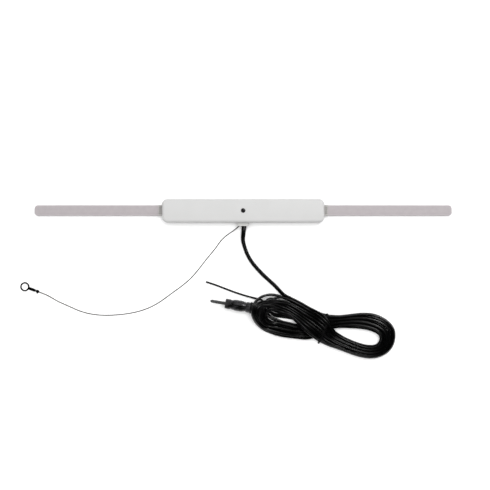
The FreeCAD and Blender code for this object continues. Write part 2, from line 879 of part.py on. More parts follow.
def make_neck(name, side):
    """The soft moulded neck: a slotted block outside, a root in the end notch and an anchor flange inside."""
    outer_middle = (f"{side} * (housing_length / 2 + neck_length / 2)", "element_offset")
    outer_sides = ("neck_length", "neck_width", "element_thickness")
    outer = block(f"{name}_neck_block", outer_sides, outer_middle, "tape_thickness")
    slots = []
    for number in range(4):
        y = f"element_offset + {number - 1.5} * neck_slot_pitch"
        sides = ("neck_slot_length", "neck_slot_width", "2 * neck_slot_depth")
        height = "tape_thickness + element_thickness - neck_slot_depth"
        slots.append(block(f"{name}_slot_{number + 1}", sides, (outer_middle[0], y), height))
    root_middle = (f"{side} * (housing_length / 2 - anchor_depth / 2)", "element_offset")
    root_sides = ("anchor_depth + weld", "neck_width", "element_thickness - fit_gap")
    root = block(f"{name}_neck_root", root_sides, root_middle, "tape_thickness + fit_gap")
    flange_middle = (f"{side} * (housing_length / 2 - anchor_depth - anchor_flange / 2)", "element_offset")
    flange_sides = ("anchor_flange", "anchor_flange_width", "anchor_flange_height")
    flange = block(f"{name}_anchor", flange_sides, flange_middle, BASE_TOP)
    blank = fuse(f"{name}_neck_blank", [outer, root, flange])
    wires = leads_tool(f"{name}_neck_channel", lead_routes(side), "conductor_diameter")
    slot_tool = fuse(f"{name}_slots", slots)
    slotted = cut(f"{name}_slotted", blank, slot_tool)
    return node(cut(f"{name}_neck", slotted, wires), f"{name}_neck")


def make_neck_leads(name, side):
    return node(leads_tool(f"{name}_lead", lead_routes(side), "conductor_diameter"), f"{name}_lead")


# ---------------------------------------------------------------- circuit board and what is on it


def legs(name, places, bottom, top):
    """Square component legs through the board."""
    height = f"({top}) - ({bottom})"
    return [
        block(f"{name}_{number}", ("lead_size", "lead_size", height), place, bottom)
        for number, place in enumerate(places, start=1)
    ]


def make_led():
    """A small round indicator on two legs, under the lens."""
    foot = f"({BOARD_TOP} + seat_gap)"
    top = f"({ROOF} - seat_gap - lens_flange_height - resistor_lift)"
    rim = "(led_diameter / 2 + led_rim)"
    profile = [
        ("0", foot),
        (rim, foot),
        (rim, f"{foot} + led_rim_height"),
        ("led_diameter / 2", f"{foot} + led_rim_height"),
        ("led_diameter / 2", f"{top} - led_diameter / 3"),
        ("led_diameter / 4", f"{top} - led_diameter / 15"),
        ("0", top),
    ]
    node(turned("power_led", profile), "power_led")
    return group("led_leads", legs("led_leg", [("0 - leg_pitch", "0"), ("leg_pitch", "0")], LEAD_FOOT, foot))


def make_transistors():
    """Two D-shaped transistors, each on three legs."""
    cans = []
    places = []
    foot = f"({BOARD_TOP} + transistor_lift)"
    for number, x in enumerate(("0 - 16", "17"), start=1):
        can = rod(f"transistor_can_{number}", "transistor_diameter", "transistor_height", (x, "0", foot))
        flat_y = "transistor_diameter / 2 + transistor_flat"
        flat_sides = ("2 * transistor_diameter", "transistor_diameter", "2 * transistor_height")
        flat = block(f"transistor_flat_{number}", flat_sides, (x, flat_y), foot)
        cans.append(cut(f"transistor_{number}", can, flat))
        places += [(f"{x} + {way} * leg_pitch", "0") for way in (-1, 0, 1)]
    group("transistors", cans)
    return group("transistor_leads", legs("transistor_leg", places, LEAD_FOOT, foot))


def make_capacitors():
    """Two upright cans and four upright discs."""
    foot = f"({BOARD_TOP} + seat_gap)"
    cans = []
    places = []
    for number, (x, y) in enumerate((("28", "1.8"), ("0 - 28", "0 - 1.8")), start=1):
        cans.append(rod(f"capacitor_can_{number}", "can_diameter", "can_height", (x, y, foot)))
        places += [(f"{x} + {way} * capacitor_leg_pitch / 2", y) for way in (-1, 1)]
    group("electrolytic_capacitors", cans)
    can_legs = legs("can_leg", places, LEAD_FOOT, foot)

    discs = []
    places = []
    disc_foot = f"({BOARD_TOP} + disc_lift)"
    for number, x in enumerate(("0 - 40", "0 - 21.5", "11", "39"), start=1):
        start = (x, "0 - disc_thickness / 2", f"{disc_foot} + disc_diameter / 2")
        discs.append(rod(f"disc_{number}", "disc_diameter", "disc_thickness", start, "y"))
        places += [(f"{x} + {way} * capacitor_leg_pitch / 2", "0") for way in (-1, 1)]
    disc_legs = legs("disc_leg", places, LEAD_FOOT, f"{disc_foot} + disc_leg_height")
    disc_tool = fuse("disc_solids", discs)
    group("ceramic_capacitors", discs)
    leg_solids = fuse("capacitor_leg_solids", can_legs + disc_legs)
    return node(cut("capacitor_leads", leg_solids, disc_tool), "capacitor_leads")


def make_resistors():
    """Six small axial resistors lying along the board, each with its wires bent down through the board."""
    bodies = []
    routes = []
    axis_height = f"({BOARD_TOP} + resistor_diameter / 2 + resistor_lift)"
    height = value(axis_height)
    low = value(LEAD_FOOT)
    half = value("resistor_length / 2")
    for number, (x, y) in enumerate(((-34, 5), (-20, -5), (-11, 5), (12, 5), (22, -5), (34, -5)), start=1):
        start = (f"{x} - resistor_length / 2", y, axis_height)
        bodies.append(rod(f"resistor_{number}", "resistor_diameter", "resistor_length", start, "x"))
        for way in (-1, 1):
            near = x + way * half
            bend = x + way * (half + value("resistor_bend"))
            routes.append([(near, y, height), (bend, y, height), (bend, y, low)])
    group("resistors", bodies)
    return node(leads_tool("resistor_leads", routes, "lead_size"), "resistor_leads")


def make_choke():
    """A ferrite rod lying on the board with a single layer of wire."""
    height = f"{BOARD_TOP} + choke_diameter / 2 + winding_wire + seat_gap"
    start = ("choke_from_middle - choke_length / 2", "0", height)
    node(rod("choke_core", "choke_diameter", "choke_length", start, "x"), "choke_core")
    turns = []
    pitch = "(winding_wire + winding_gap)"
    count = int(value(f"(choke_length - 2 * choke_bare_end) / {pitch}"))
    for number in range(count):
        turn = DOC.addObject("Part::Torus", f"choke_turn_{number + 1}")
        turn.Placement = Placement(Vector(), Rotation(Vector(0, 1, 0), 90))
        bind(turn, "Radius1", "choke_diameter / 2 + winding_wire / 2")
        bind(turn, "Radius2", "winding_wire / 2")
        place(turn, f"choke_from_middle + {number - (count - 1) / 2} * {pitch}", "0", height)
        turns.append(turn)
    return group("choke_winding", turns)


def make_solder(wires):
    """A small cone of solder round each wire's end on the board."""
    cones = []
    ends = [route[-1] for route in lead_routes(-1) + lead_routes(1) + core_routes()]
    for number, (x, y, _) in enumerate(ends, start=1):
        cone = DOC.addObject("Part::Cone", f"solder_{number}")
        bind(cone, "Radius1", "solder_diameter / 2")
        bind(cone, "Radius2", "solder_diameter / 4")
        bind(cone, "Height", "solder_height")
        cones.append(place(cone, x, y, BOARD_TOP))
    return node(cut("solder_joints", fuse("solder_cones", cones), wires), "solder_joints")


def make_board(leg_groups):
    """The board, notched for the leads, with holes for its screws and for every leg."""
    body = new_body("board_blank")
    drawing = sketch_on(body, "XY_Plane", BOARD_BOTTOM)
    draw_outline(drawing, rectangle("board_length", "board_width"))
    pad(body, drawing, "board_thickness")
    drawing = sketch_on(body, "XY_Plane", BOARD_TOP)
    notch_middle = ("0", "0 - board_width / 2")
    draw_outline(drawing, rectangle("cable_notch_width", "2 * cable_notch_depth", notch_middle))
    pocket(body, drawing, "2 * board_thickness")
    drawing = sketch_on(body, "XY_Plane", BOARD_TOP)
    for x, y in board_screw_places():
        draw_circle(drawing, x, y, "board_screw_shank + 2 * fit_gap")
    pocket(body, drawing, "2 * board_thickness")
    return node(cut("circuit_board", body, fuse("board_legs", leg_groups)), "circuit_board")


def make_board_screws():
    screws = []
    for number, (x, y) in enumerate(board_screw_places(), start=1):
        profile = [
            ("0", BASE_TOP),
            ("board_screw_shank / 2", BASE_TOP),
            ("board_screw_shank / 2", BOARD_TOP),
            ("board_screw_head / 2", BOARD_TOP),
            ("board_screw_head / 2", f"{BOARD_TOP} + board_screw_rim"),
            ("board_screw_head / 3", f"{BOARD_TOP} + board_screw_rim + board_screw_dome"),
            ("0", f"{BOARD_TOP} + board_screw_rim + board_screw_dome"),
        ]
        screws.append(place(turned(f"board_screw_{number}", profile), x, y))
    return group("board_screws", screws)


# ---------------------------------------------------------------- free leads, hank and tie


def coax_route():
    """The coax from the boss's face to where it goes into the hank."""
    table = value("coax_diameter / 2")
    return [
        (COAX_X, value(BOSS_FACE), value("coax_exit_height")),
        (COAX_X, -18.8, value("coax_exit_height")),
        (-0.9, -23.6, 4.1),
        (-1.0, -29.4, 2.3),
        (0.9, -36.2, table),
        (3.6, -43.6, table),
        (7.9, -51.0, table),
        (13.2, -57.4, table),
        (19.3, -63.9, table),
        (25.6, -69.6, table),
        (31.4, -74.8, table),
        (36.0, -80.2, table),
        (39.4, -86.2, table),
    ]


def power_route():
    """The power wire beside the coax, on its right."""
    table = value("power_diameter / 2")
    return [
        (POWER_X, value(BOSS_FACE), value("power_exit_height")),
        (POWER_X, -18.6, value("power_exit_height")),
        (1.9, -23.2, 2.4),
        (1.5, -29.2, 1.0),
        (3.3, -35.5, table),
        (6.0, -42.5, table),
        (10.1, -49.5, table),
        (15.2, -55.6, table),
        (21.2, -62.0, table),
        (27.4, -67.6, table),
        (33.4, -73.0, table),
        (38.2, -79.0, table),
        (42.4, -86.4, table),
    ]


def power_end_route():
    """The power wire's other end, from the hank to its bare cut tip."""
    table = value("power_diameter / 2")
    return [
        (20.2, -88.8, table),
        (13.0, -87.1, table),
        (3.2, -84.7, table),
        (-7.6, -81.2, table),
        (-17.8, -77.4, table),
        (-27.2, -73.7, table),
        (-37.0, -70.5, table),
    ]


def ground_route():
    """The twisted ground wire from the boss's face into the ring terminal's barrel."""
    table = value("ground_diameter / 2")
    barrel = value("barrel_height")
    return [
        (GROUND_X, value(BOSS_FACE), value("ground_exit_height")),
        (-7.3, value(BOSS_FACE) - 2.6, 2.6),
        (-11.2, -20.4, 1.4),
        (-16.4, -23.9, 0.7),
        (-22.0, -28.8, table),
        (-28.2, -37.8, table),
        (-36.2, -47.2, table),
        (-42.6, -55.6, table),
        (-50.4, -65.2, table),
        (-59.6, -73.6, table),
        (-71.5, -82.0, table),
        (-84.2, -91.6, table),
        (-97.8, -98.3, table),
        (-112.2, -101.9, table),
        (-124.6, -103.4, table),
        (-137.1, -104.0, table),
        (-150.2, -103.1, table),
        (-162.8, -99.9, table),
        (-175.2, -94.2, table),
        (-185.2, -89.9, table),
        (-193.0, -85.2, table),
        (-198.8, -82.4, 0.9),
        (-203.4, -80.7, barrel),
        (-207.0, -79.4, barrel),
    ]


def loop_face(first, second):
    """The flat outline round two circles (x, y, radius): two arcs and the two lines that touch both."""
    centre_a = Vector(first[0], first[1], 0)
    centre_b = Vector(second[0], second[1], 0)
    span = centre_b - centre_a
    heading = math.atan2(span.y, span.x)
    lean = math.acos((first[2] - second[2]) / span.Length)

    def on_circle(centre, radius, angle):
        return centre + Vector(math.cos(angle), math.sin(angle), 0) * radius

    left_a = on_circle(centre_a, first[2], heading + lean)
    left_b = on_circle(centre_b, second[2], heading + lean)
    right_a = on_circle(centre_a, first[2], heading - lean)
    right_b = on_circle(centre_b, second[2], heading - lean)
    back_a = on_circle(centre_a, first[2], heading + math.pi)
    front_b = on_circle(centre_b, second[2], heading)
    edges = [
        Part.LineSegment(left_a, left_b).toShape(),
        Part.Arc(left_b, front_b, right_b).toShape(),
        Part.LineSegment(right_b, right_a).toShape(),
        Part.Arc(right_a, back_a, left_a).toShape(),
    ]
    return Part.Face(Part.Wire(edges))


def plug_placement(height):
    return Placement(Vector(*PLUG_TIP, height), Rotation(Vector(0, 0, 1), PLUG_TURN))


def tie_box(grow, height, bottom):
    """A box across the hank's waist, larger than the tie's inside by grow in plan."""
    low, high = TIE_SPAN
    width = value("tie_width")
    corner = Vector(TIE_X - width / 2, low - grow, bottom)
    return Part.makeBox(width, high - low + 2 * grow, height, corner)


def make_hank():
    """The outer shape of the tied hank: two loops joined at a waist, clear of the plug's boot and the tie."""
    height = value("hank_height")
    upward = Vector(0, 0, height)
    left = loop_face(LEFT_BEND, WAIST).extrude(upward)
    right = loop_face(WAIST, RIGHT_BEND).extrude(upward)
    hole = loop_face(HOLE_NARROW_END, HOLE_WIDE_END).extrude(upward)
    boot_radius = value("boot_diameter / 2")
    gap = value("boot_gap")
    boot_start = Vector(value(SHELL_END), 0, 0)
    boot_space = Part.makeCylinder(boot_radius + gap, value("boot_length") + gap, boot_start, Vector(1, 0, 0))
    boot_space.Placement = plug_placement(boot_radius)
    thickness = value("tie_thickness")
    across = tie_box(RIGHT_BEND[2], 2 * height, -height / 2)
    core = tie_box(0, height - 2 * thickness, thickness)
    solid = left.fuse(right).removeSplitter().cut(hole).cut(boot_space).cut(across.cut(core))
    feature = DOC.addObject("Part::Feature", "cable_hank")
    feature.Shape = solid
    return node(feature, "cable_hank")


def make_tie():
    """The tie round the hank's waist, as a closed band."""
    height = value("hank_height")
    thickness = value("tie_thickness")
    outside = tie_box(thickness, height, 0)
    inside = tie_box(0, height - 2 * thickness, thickness)
    feature = DOC.addObject("Part::Feature", "twist_tie")
    feature.Shape = outside.cut(inside)
    return node(feature, "twist_tie")


# ---------------------------------------------------------------- ring terminal and plug


def make_ring_terminal():
    """A crimp ring: a flat ring, a tongue, a barrel on the wire and a small grip behind it, drawn along +X."""
    ring = rod("ring_disc", "ring_outside", "ring_thickness", ("0", "0", "0"))
    hole = rod("ring_bore", "ring_hole", "ring_thickness", ("0", "0", "0"))
    start = "(ring_outside / 2 - tongue_overlap)"
    tongue_sides = ("tongue_length", "tongue_width", "ring_thickness")
    tongue = block("ring_tongue", tongue_sides, (f"{start} + tongue_length / 2", "0"), "0")
    barrel_foot = (f"{start} + barrel_start", "0", "barrel_height")
    barrel = rod("ring_barrel", "barrel_outside", "barrel_length", barrel_foot, "x")
    grip_foot = (f"{start} + grip_start", "0", "barrel_height")
    grip = rod("ring_grip", "barrel_outside", "grip_length", grip_foot, "x")
    floor_length = "(grip_start - barrel_start + grip_length)"
    floor_middle = (f"{start} + barrel_start + {floor_length} / 2", "0")
    floor = block("ring_floor", (floor_length, "floor_width", "floor_thickness"), floor_middle, "0")
    tab_middle = (f"{start} + grip_start + grip_length / 2", "0 - barrel_outside / 2")
    tab = block("ring_tab", ("tab_length", "floor_width", "floor_thickness"), tab_middle, "0")
    blank = fuse("ring_blank", [ring, tongue, barrel, floor, grip, tab])
    bore_length = "(grip_start + grip_length)"
    bore_foot = (f"{start} + tongue_length - barrel_outside / 2", "0", "barrel_height")
    bore = rod("ring_wire_bore", "ground_diameter", bore_length, bore_foot, "x")
    terminal = cut("ring_terminal", blank, fuse("ring_holes", [hole, bore]))
    terminal.Placement = Placement(Vector(*RING_CENTRE, 0), Rotation(Vector(0, 0, 1), RING_TURN))
    return node(terminal, "ring_terminal")


def on_plug(item):
    """Lays a piece that was drawn along +X from the pin's tip on the plug's line."""
    item.Placement = plug_placement(0)
    bind(item, "Placement.Base.z", "boot_diameter / 2")
    return item


def make_plug_pin():
    profile = [
        ("0", "0"),
        ("0", "pin_diameter / 2 - pin_tip_drop"),
        ("pin_tip_length", "pin_diameter / 2"),
        ("pin_reach", "pin_diameter / 2"),
        ("pin_reach", "pin_shank / 2"),
        (f"{COLLAR_END} + pin_anchor", "pin_shank / 2"),
        (f"{COLLAR_END} + pin_anchor", "0"),
    ]
    return node(on_plug(turned("plug_pin", profile, upright=False)), "plug_pin")


def make_plug_insulator():
    """The sleeve that holds the pin in the collar."""
    profile = [
        ("pin_reach + collar_chamfer", "pin_shank / 2"),
        ("pin_reach + collar_chamfer", "collar_diameter / 2 - collar_wall"),
        (COLLAR_END, "collar_diameter / 2 - collar_wall"),
        (COLLAR_END, "pin_shank / 2"),
    ]
    return node(on_plug(turned("plug_insulator", profile, upright=False)), "plug_insulator")


def make_plug_shell():
    """The metal contact: a collar, four bowed leaves with slots between them, and a rear ring."""
    root = "(leaf_diameter / 2)"
    bow = f"({root} + leaf_bulge)"
    bore = "(collar_diameter / 2 - collar_wall)"
    middle = f"({COLLAR_END} + leaf_length / 2)"
    profile = [
        ("pin_reach", bore),
        ("pin_reach", "collar_diameter / 2 - collar_chamfer"),
        ("pin_reach + collar_chamfer", "collar_diameter / 2"),
        (COLLAR_END, "collar_diameter / 2"),
        (f"{COLLAR_END} + leaf_root", root),
        (f"{middle} - leaf_flat / 2", bow),
        (f"{middle} + leaf_flat / 2", bow),
        (f"{LEAF_END} - leaf_root", root),
        (LEAF_END, "rear_ring_diameter / 2"),
        (SHELL_END, "rear_ring_diameter / 2"),
        (SHELL_END, f"{root} - leaf_thickness"),
        (f"{LEAF_END} - leaf_root", f"{root} - leaf_thickness"),
        (f"{middle} + leaf_flat / 2", f"{bow} - leaf_thickness"),
        (f"{middle} - leaf_flat / 2", f"{bow} - leaf_thickness"),
        (f"{COLLAR_END} + leaf_root", f"{root} - leaf_thickness"),
        (COLLAR_END, bore),
    ]
    tube = turned("shell_tube", profile, upright=False)
    reach = "leaf_length - 2 * leaf_root"
    through = "2 * leaf_diameter"
    upright_slot = block("slot_upright", (reach, "leaf_slot", through), (middle, "0"), "0 - leaf_diameter")
    level_slot = block("slot_level", (reach, through, "leaf_slot"), (middle, "0"), "0 - leaf_slot / 2")
    slots = fuse("leaf_slots", [upright_slot, level_slot])
    return node(on_plug(cut("plug_shell", tube, slots)), "plug_shell")


def make_plug_barrel():
    """The dark core inside the leaves, which carries the cable's end."""
    radius = "(leaf_diameter / 2 - leaf_thickness - core_gap)"
    start = f"({COLLAR_END} + pin_anchor + fit_gap)"
    profile = [
        (start, "0"),
        (start, radius),
        (SHELL_END, radius),
        (SHELL_END, "coax_diameter / 2"),
        (f"{LEAF_END} - cable_socket", "coax_diameter / 2"),
        (f"{LEAF_END} - cable_socket", "0"),
    ]
    return node(on_plug(turned("plug_barrel", profile, upright=False)), "plug_barrel")


def make_plug_boot():
    """The soft boot behind the shell, with three grip grooves and a thin tail."""
    bore = "coax_diameter / 2"
    wide = "boot_diameter / 2"
    profile = [
        (SHELL_END, bore),
        (SHELL_END, f"{wide} - boot_chamfer"),
        (f"{SHELL_END} + boot_chamfer", wide),
    ]
    for ridge in range(3):
        start = f"{SHELL_END} + groove_start + {ridge} * groove_pitch"
        profile += [
            (start, wide),
            (f"{start} + groove_width / 5", f"{wide} - groove_depth"),
            (f"{start} + groove_width * 4 / 5", f"{wide} - groove_depth"),
            (f"{start} + groove_width", wide),
        ]
    profile += [
        (f"{SHELL_END} + boot_straight", wide),
        (f"{SHELL_END} + boot_length", "boot_tip_diameter / 2"),
        (f"{SHELL_END} + boot_length", bore),
    ]
    return node(on_plug(turned("plug_boot", profile, upright=False)), "plug_boot")


def make_plug_cable():
    """The coax's end inside the boot and the core."""
    start = f"({LEAF_END} - cable_socket)"
    end = f"({SHELL_END} + boot_length)"
    profile = [(start, "0"), (start, "coax_diameter / 2"), (end, "coax_diameter / 2"), (end, "0")]
    return node(on_plug(turned("coax_plug_end", profile, upright=False)), "coax_plug_end")


# ---------------------------------------------------------------- the whole antenna


def make_electronics():
    leg_groups = [make_led(), make_transistors(), make_capacitors(), make_resistors()]
    make_choke()
    make_board(leg_groups)
    make_board_screws()
    wires = leads_tool("soldered_wires", lead_routes(-1) + lead_routes(1), "conductor_diameter")
    cores = leads_tool("soldered_cores", core_routes(), "ground_diameter")
    node(leads_tool("wire_ends", core_routes(), "ground_diameter"), "stripped_wire_ends")
    make_solder(fuse("soldered", [wires, cores]))


def make_elements():
    for side, name in ((-1, "left"), (1, "right")):
        make_neck(name, side)
        make_neck_leads(name, side)
        make_sleeve(name, side)
        make_conductor(name, side)
        make_element_tape(name, side)


def make_leads():
    lead("coax_cable", coax_route(), "coax_diameter")
    lead("power_wire", power_route(), "power_diameter")
    lead("power_wire_end", power_end_route(), "power_diameter")
    lead("ground_wire", ground_route(), "ground_diameter")
    make_hank()
    make_tie()
    make_ring_terminal()


def make_plug():
    make_plug_pin()
    make_plug_insulator()
    make_plug_shell()
    make_plug_barrel()
    make_plug_boot()
    make_plug_cable()


def check_document():
    """Stops at anything that failed to build, which a recompute alone doesn't report."""
    for item in DOC.Objects:
        if "Invalid" in item.State or "Error" in item.State:
            raise RuntimeError(f"{item.Name} ({item.TypeId}) failed: {item.State}")
    for item in NODES:
        if item.Shape.isNull() or not item.Shape.isValid() or not item.Shape.Solids:
            raise RuntimeError(f"{item.Label} has no valid solid")


def export_nodes():
    os.makedirs("parts", exist_ok=True)
    for item in NODES:
        item.Shape.exportStep(f"parts/{item.Label}.step")
        print(f"{item.Label}: {len(item.Shape.Solids)} solid(s), {item.Shape.Volume:.1f} mm3")


make_front_cover()
make_rear_cover()
make_cover_screws()
make_housing_tape()
make_lens()
make_grommet()
make_tails()
make_electronics()
make_elements()
make_leads()
make_plug()
DOC.recompute()
check_document()
export_nodes()
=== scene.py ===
"""A flat antenna for a vehicle: two strips either side of a housing, with its leads and plug."""

import math

import bpy
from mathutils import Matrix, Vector


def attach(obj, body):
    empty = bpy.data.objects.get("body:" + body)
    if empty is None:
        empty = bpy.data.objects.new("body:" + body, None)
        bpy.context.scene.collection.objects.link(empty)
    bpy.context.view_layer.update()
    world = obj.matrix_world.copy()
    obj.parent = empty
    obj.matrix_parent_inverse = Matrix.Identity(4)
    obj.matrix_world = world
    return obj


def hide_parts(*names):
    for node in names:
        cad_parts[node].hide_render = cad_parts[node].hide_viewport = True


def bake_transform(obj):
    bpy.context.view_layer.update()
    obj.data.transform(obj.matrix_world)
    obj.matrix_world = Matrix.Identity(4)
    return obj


MM = 0.001
UP = Vector((0, 0, 1))

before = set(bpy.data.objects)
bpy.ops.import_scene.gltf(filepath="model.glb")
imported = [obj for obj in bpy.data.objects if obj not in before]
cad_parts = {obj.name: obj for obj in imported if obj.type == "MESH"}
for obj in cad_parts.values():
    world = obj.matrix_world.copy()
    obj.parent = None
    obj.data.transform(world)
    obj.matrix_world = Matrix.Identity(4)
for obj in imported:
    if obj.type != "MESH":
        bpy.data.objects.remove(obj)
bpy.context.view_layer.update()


# ---------------------------------------------------------------- camera and stage

# The view is almost straight down, with +Y towards the top of the picture.
CAMERA_AIM = Vector((1.8, -33.7, 0)) * MM
CAMERA_DISTANCE = 1157 * MM
CAMERA_TILT = math.radians(88)
LENS = 85
SENSOR_WIDTH = 36

FLOOR_REACH = 3
FLOOR_DROP = 0.05
FLOOR_COLOUR = (0.95, 0.95, 0.95)
FLOOR_ROUGHNESS = 0.9
WORLD_STRENGTH = 0.62


def set_up(item, place, aim):
    """Puts a camera or a light at a place, looking at another, in metres."""
    bpy.context.scene.collection.objects.link(item)
    item.location = place
    item.rotation_euler = (Vector(aim) - Vector(place)).to_track_quat("-Z", "Y").to_euler()


def add_camera():
    back = Vector((0, -math.cos(CAMERA_TILT), math.sin(CAMERA_TILT)))
    data = bpy.data.cameras.new("camera")
    data.lens = LENS
    data.sensor_width = SENSOR_WIDTH
    camera = bpy.data.objects.new("camera", data)
    set_up(camera, CAMERA_AIM + CAMERA_DISTANCE * back, CAMERA_AIM)
    bpy.context.scene.camera = camera


def add_light(name, place, aim, size, power, reflected=True):
    """A rectangular soft light; size is in metres and power in watts."""
    data = bpy.data.lights.new(name, "AREA")
    data.shape = "RECTANGLE"
    data.size, data.size_y = size
    data.energy = power
    light = bpy.data.objects.new(name, data)
    light.visible_glossy = reflected
    set_up(light, place, aim)


def add_studio():
    floor_mesh = bpy.data.meshes.new("floor")
    corners = [
        Vector((x * FLOOR_REACH, y * FLOOR_REACH, 0)) - UP * FLOOR_DROP * MM
        for x, y in ((-1, -1), (1, -1), (1, 1), (-1, 1))
    ]
    floor_mesh.from_pydata(corners, [], [(0, 1, 2, 3)])
    floor = bpy.data.objects.new("floor", floor_mesh)
    bpy.context.scene.collection.objects.link(floor)
    floor_mesh.materials.append(shader("floor_white", FLOOR_COLOUR, roughness=FLOOR_ROUGHNESS))
    world = bpy.data.worlds.new("studio")
    world.use_nodes = True
    background = world.node_tree.nodes["Background"]
    background.inputs["Color"].default_value = (1, 1, 1, 1)
    background.inputs["Strength"].default_value = WORLD_STRENGTH
    bpy.context.scene.world = world
    world.cycles_visibility.glossy = False
    bpy.context.scene.view_settings.view_transform = "Standard"
    add_light("key", (-0.1, 0.2, 1.7), (0, -0.03, 0), (1.7, 1.3), 22, False)
    add_light("fill", (0.7, -0.5, 1.6), (0, -0.05, 0), (0.9, 0.9), 4, False)
    add_light("sheen", (0.85, 0.95, 1.45), (0.06, -0.1, 0), (0.42, 0.42), 13)


# ---------------------------------------------------------------- materials

# The part of a noise's range that carries most of its values.
NOISE_RANGE = (0.3, 0.7)


def shader(name, colour, roughness=0.5, metallic=0.0, specular=0.5):
    """A Principled material; its even values are set on the shader itself."""
    material = bpy.data.materials.new(name)
    material.use_nodes = True
    inputs = material.node_tree.nodes["Principled BSDF"].inputs
    inputs["Base Color"].default_value = (*colour, 1)
    inputs["Roughness"].default_value = roughness
    inputs["Metallic"].default_value = metallic
    inputs["Specular IOR Level"].default_value = specular
    return material


def noise(tree, scale, detail):
    """Noise in the object's own space."""
    coordinates = tree.nodes.new("ShaderNodeTexCoord")
    texture = tree.nodes.new("ShaderNodeTexNoise")
    texture.inputs["Scale"].default_value = scale
    texture.inputs["Detail"].default_value = detail
    tree.links.new(coordinates.outputs["Object"], texture.inputs["Vector"])
    return texture.outputs["Fac"]


def ramp(tree, source, low, high, start=0.35, end=0.65):
    """A colour that goes from low to high as the source goes from start to end."""
    node = tree.nodes.new("ShaderNodeValToRGB")
    node.color_ramp.elements[0].position = start
    node.color_ramp.elements[1].position = end
    node.color_ramp.elements[0].color = (*low, 1)
    node.color_ramp.elements[1].color = (*high, 1)
    tree.links.new(source, node.inputs["Fac"])
    return node.outputs["Color"]


def span(tree, source, low, high):
    """A number that goes from low to high over a noise's range."""
    node = tree.nodes.new("ShaderNodeMapRange")
    node.inputs["From Min"].default_value = NOISE_RANGE[0]
    node.inputs["From Max"].default_value = NOISE_RANGE[1]
    node.inputs["To Min"].default_value = low
    node.inputs["To Max"].default_value = high
    tree.links.new(source, node.inputs["Value"])
    return node.outputs["Result"]


def bump(tree, source, distance, strength=1.0):
    node = tree.nodes.new("ShaderNodeBump")
    node.inputs["Strength"].default_value = strength
    node.inputs["Distance"].default_value = distance
    tree.links.new(source, node.inputs["Height"])
    return node.outputs["Normal"]


def moulded(name, colour, shade, roughness, grain, depth, patches=60, specular=0.5):
    """Moulded plastic or rubber: a slow mottle in the colour, uneven gloss and a fine grain.

    shade is how far the colour varies, roughness its least and most, and depth is in millimetres.
    """
    material = shader(name, colour, specular=specular)
    tree = material.node_tree
    principled = tree.nodes["Principled BSDF"]
    slow = noise(tree, patches, 4)
    fine = noise(tree, grain, 2)
    low = tuple(c * (1 - shade) for c in colour)
    high = tuple(min(1, c * (1 + shade)) for c in colour)
    tree.links.new(ramp(tree, slow, low, high), principled.inputs["Base Color"])
    tree.links.new(span(tree, slow, *roughness), principled.inputs["Roughness"])
    tree.links.new(bump(tree, fine, depth * MM), principled.inputs["Normal"])
    return material


METAL_PATCHES = 180
METAL_STAIN = 0.7
METAL_BUMP = 0.6


def metal(name, colour, roughness, grain=1500, depth=0.02, stain=None, dull=0.0):
    """Plated or bare metal, with stains and a fine grain; dull plating scatters some light."""
    material = shader(name, colour, metallic=1.0 - dull)
    tree = material.node_tree
    principled = tree.nodes["Principled BSDF"]
    slow = noise(tree, METAL_PATCHES, 4)
    fine = noise(tree, grain, 3)
    dark = stain or tuple(c * METAL_STAIN for c in colour)
    tree.links.new(ramp(tree, slow, dark, colour, 0.38, 0.55), principled.inputs["Base Color"])
    tree.links.new(span(tree, fine, *roughness), principled.inputs["Roughness"])
    tree.links.new(bump(tree, fine, depth * MM, METAL_BUMP), principled.inputs["Normal"])
    return material


# ---------------------------------------------------------------- meshes

def link(piece, body):
    """Puts a new piece in the scene, riding on a body."""
    bpy.context.scene.collection.objects.link(piece)
    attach(piece, body)
    return piece


def mesh_piece(name, vertices, faces, material, body, smooth=True):
    """A piece from vertices in millimetres."""
    mesh = bpy.data.meshes.new(name)
    mesh.from_pydata([Vector(v) * MM for v in vertices], [], faces)
    mesh.validate()
    mesh.update()
    mesh.polygons.foreach_set("use_smooth", [smooth] * len(mesh.polygons))
    mesh.materials.append(material)
    return link(bpy.data.objects.new(name, mesh), body)


CORD_STEPS = 8
CORD_BEVEL = 3


def nurbs_curve(name, places, steps):
    """A curve of one open NURBS spline, with the places as its control points."""
    curve = bpy.data.curves.new(name, "CURVE")
    curve.dimensions = "3D"
    curve.resolution_u = steps
    spline = curve.splines.new("NURBS")
    spline.points.add(len(places) - 1)
    for point, place in zip(spline.points, places):
        point.co = (*place, 1)
    spline.order_u = 3
    spline.use_endpoint_u = True
    return curve


def spline_piece(name, points, diameter, material, body):
    """A round cord as a curve, from control points in millimetres."""
    curve = nurbs_curve(name, [[c * MM for c in place] for place in points], CORD_STEPS)
    curve.bevel_depth = diameter * MM / 2
    curve.bevel_resolution = CORD_BEVEL
    curve.use_fill_caps = True
    curve.materials.append(material)
    return link(bpy.data.objects.new(name, curve), body)


def points_along(route, steps=CORD_STEPS):
    """Points in millimetres read from a route's NURBS spline."""
    curve = nurbs_curve("route", route, steps)
    carrier = bpy.data.objects.new("route", curve)
    mesh = bpy.data.meshes.new_from_object(carrier)
    found = [v.co.copy() for v in mesh.vertices]
    bpy.data.meshes.remove(mesh)
    bpy.data.objects.remove(carrier)
    bpy.data.curves.remove(curve)
    return found


def path_length(path):
    return sum((b - a).length for a, b in zip(path, path[1:]))


def frames(path):
    """A side and an up direction at each point, carried along without twisting."""
    found = []
    side = None
    for index, point in enumerate(path):
        ahead = path[min(index + 1, len(path) - 1)] - path[max(index - 1, 0)]
        ahead.normalize()
        if side is None:
            side = ahead.cross(UP).normalized()
        side = (side - ahead * side.dot(ahead)).normalized()
        found.append((point, side, side.cross(ahead)))
    return found


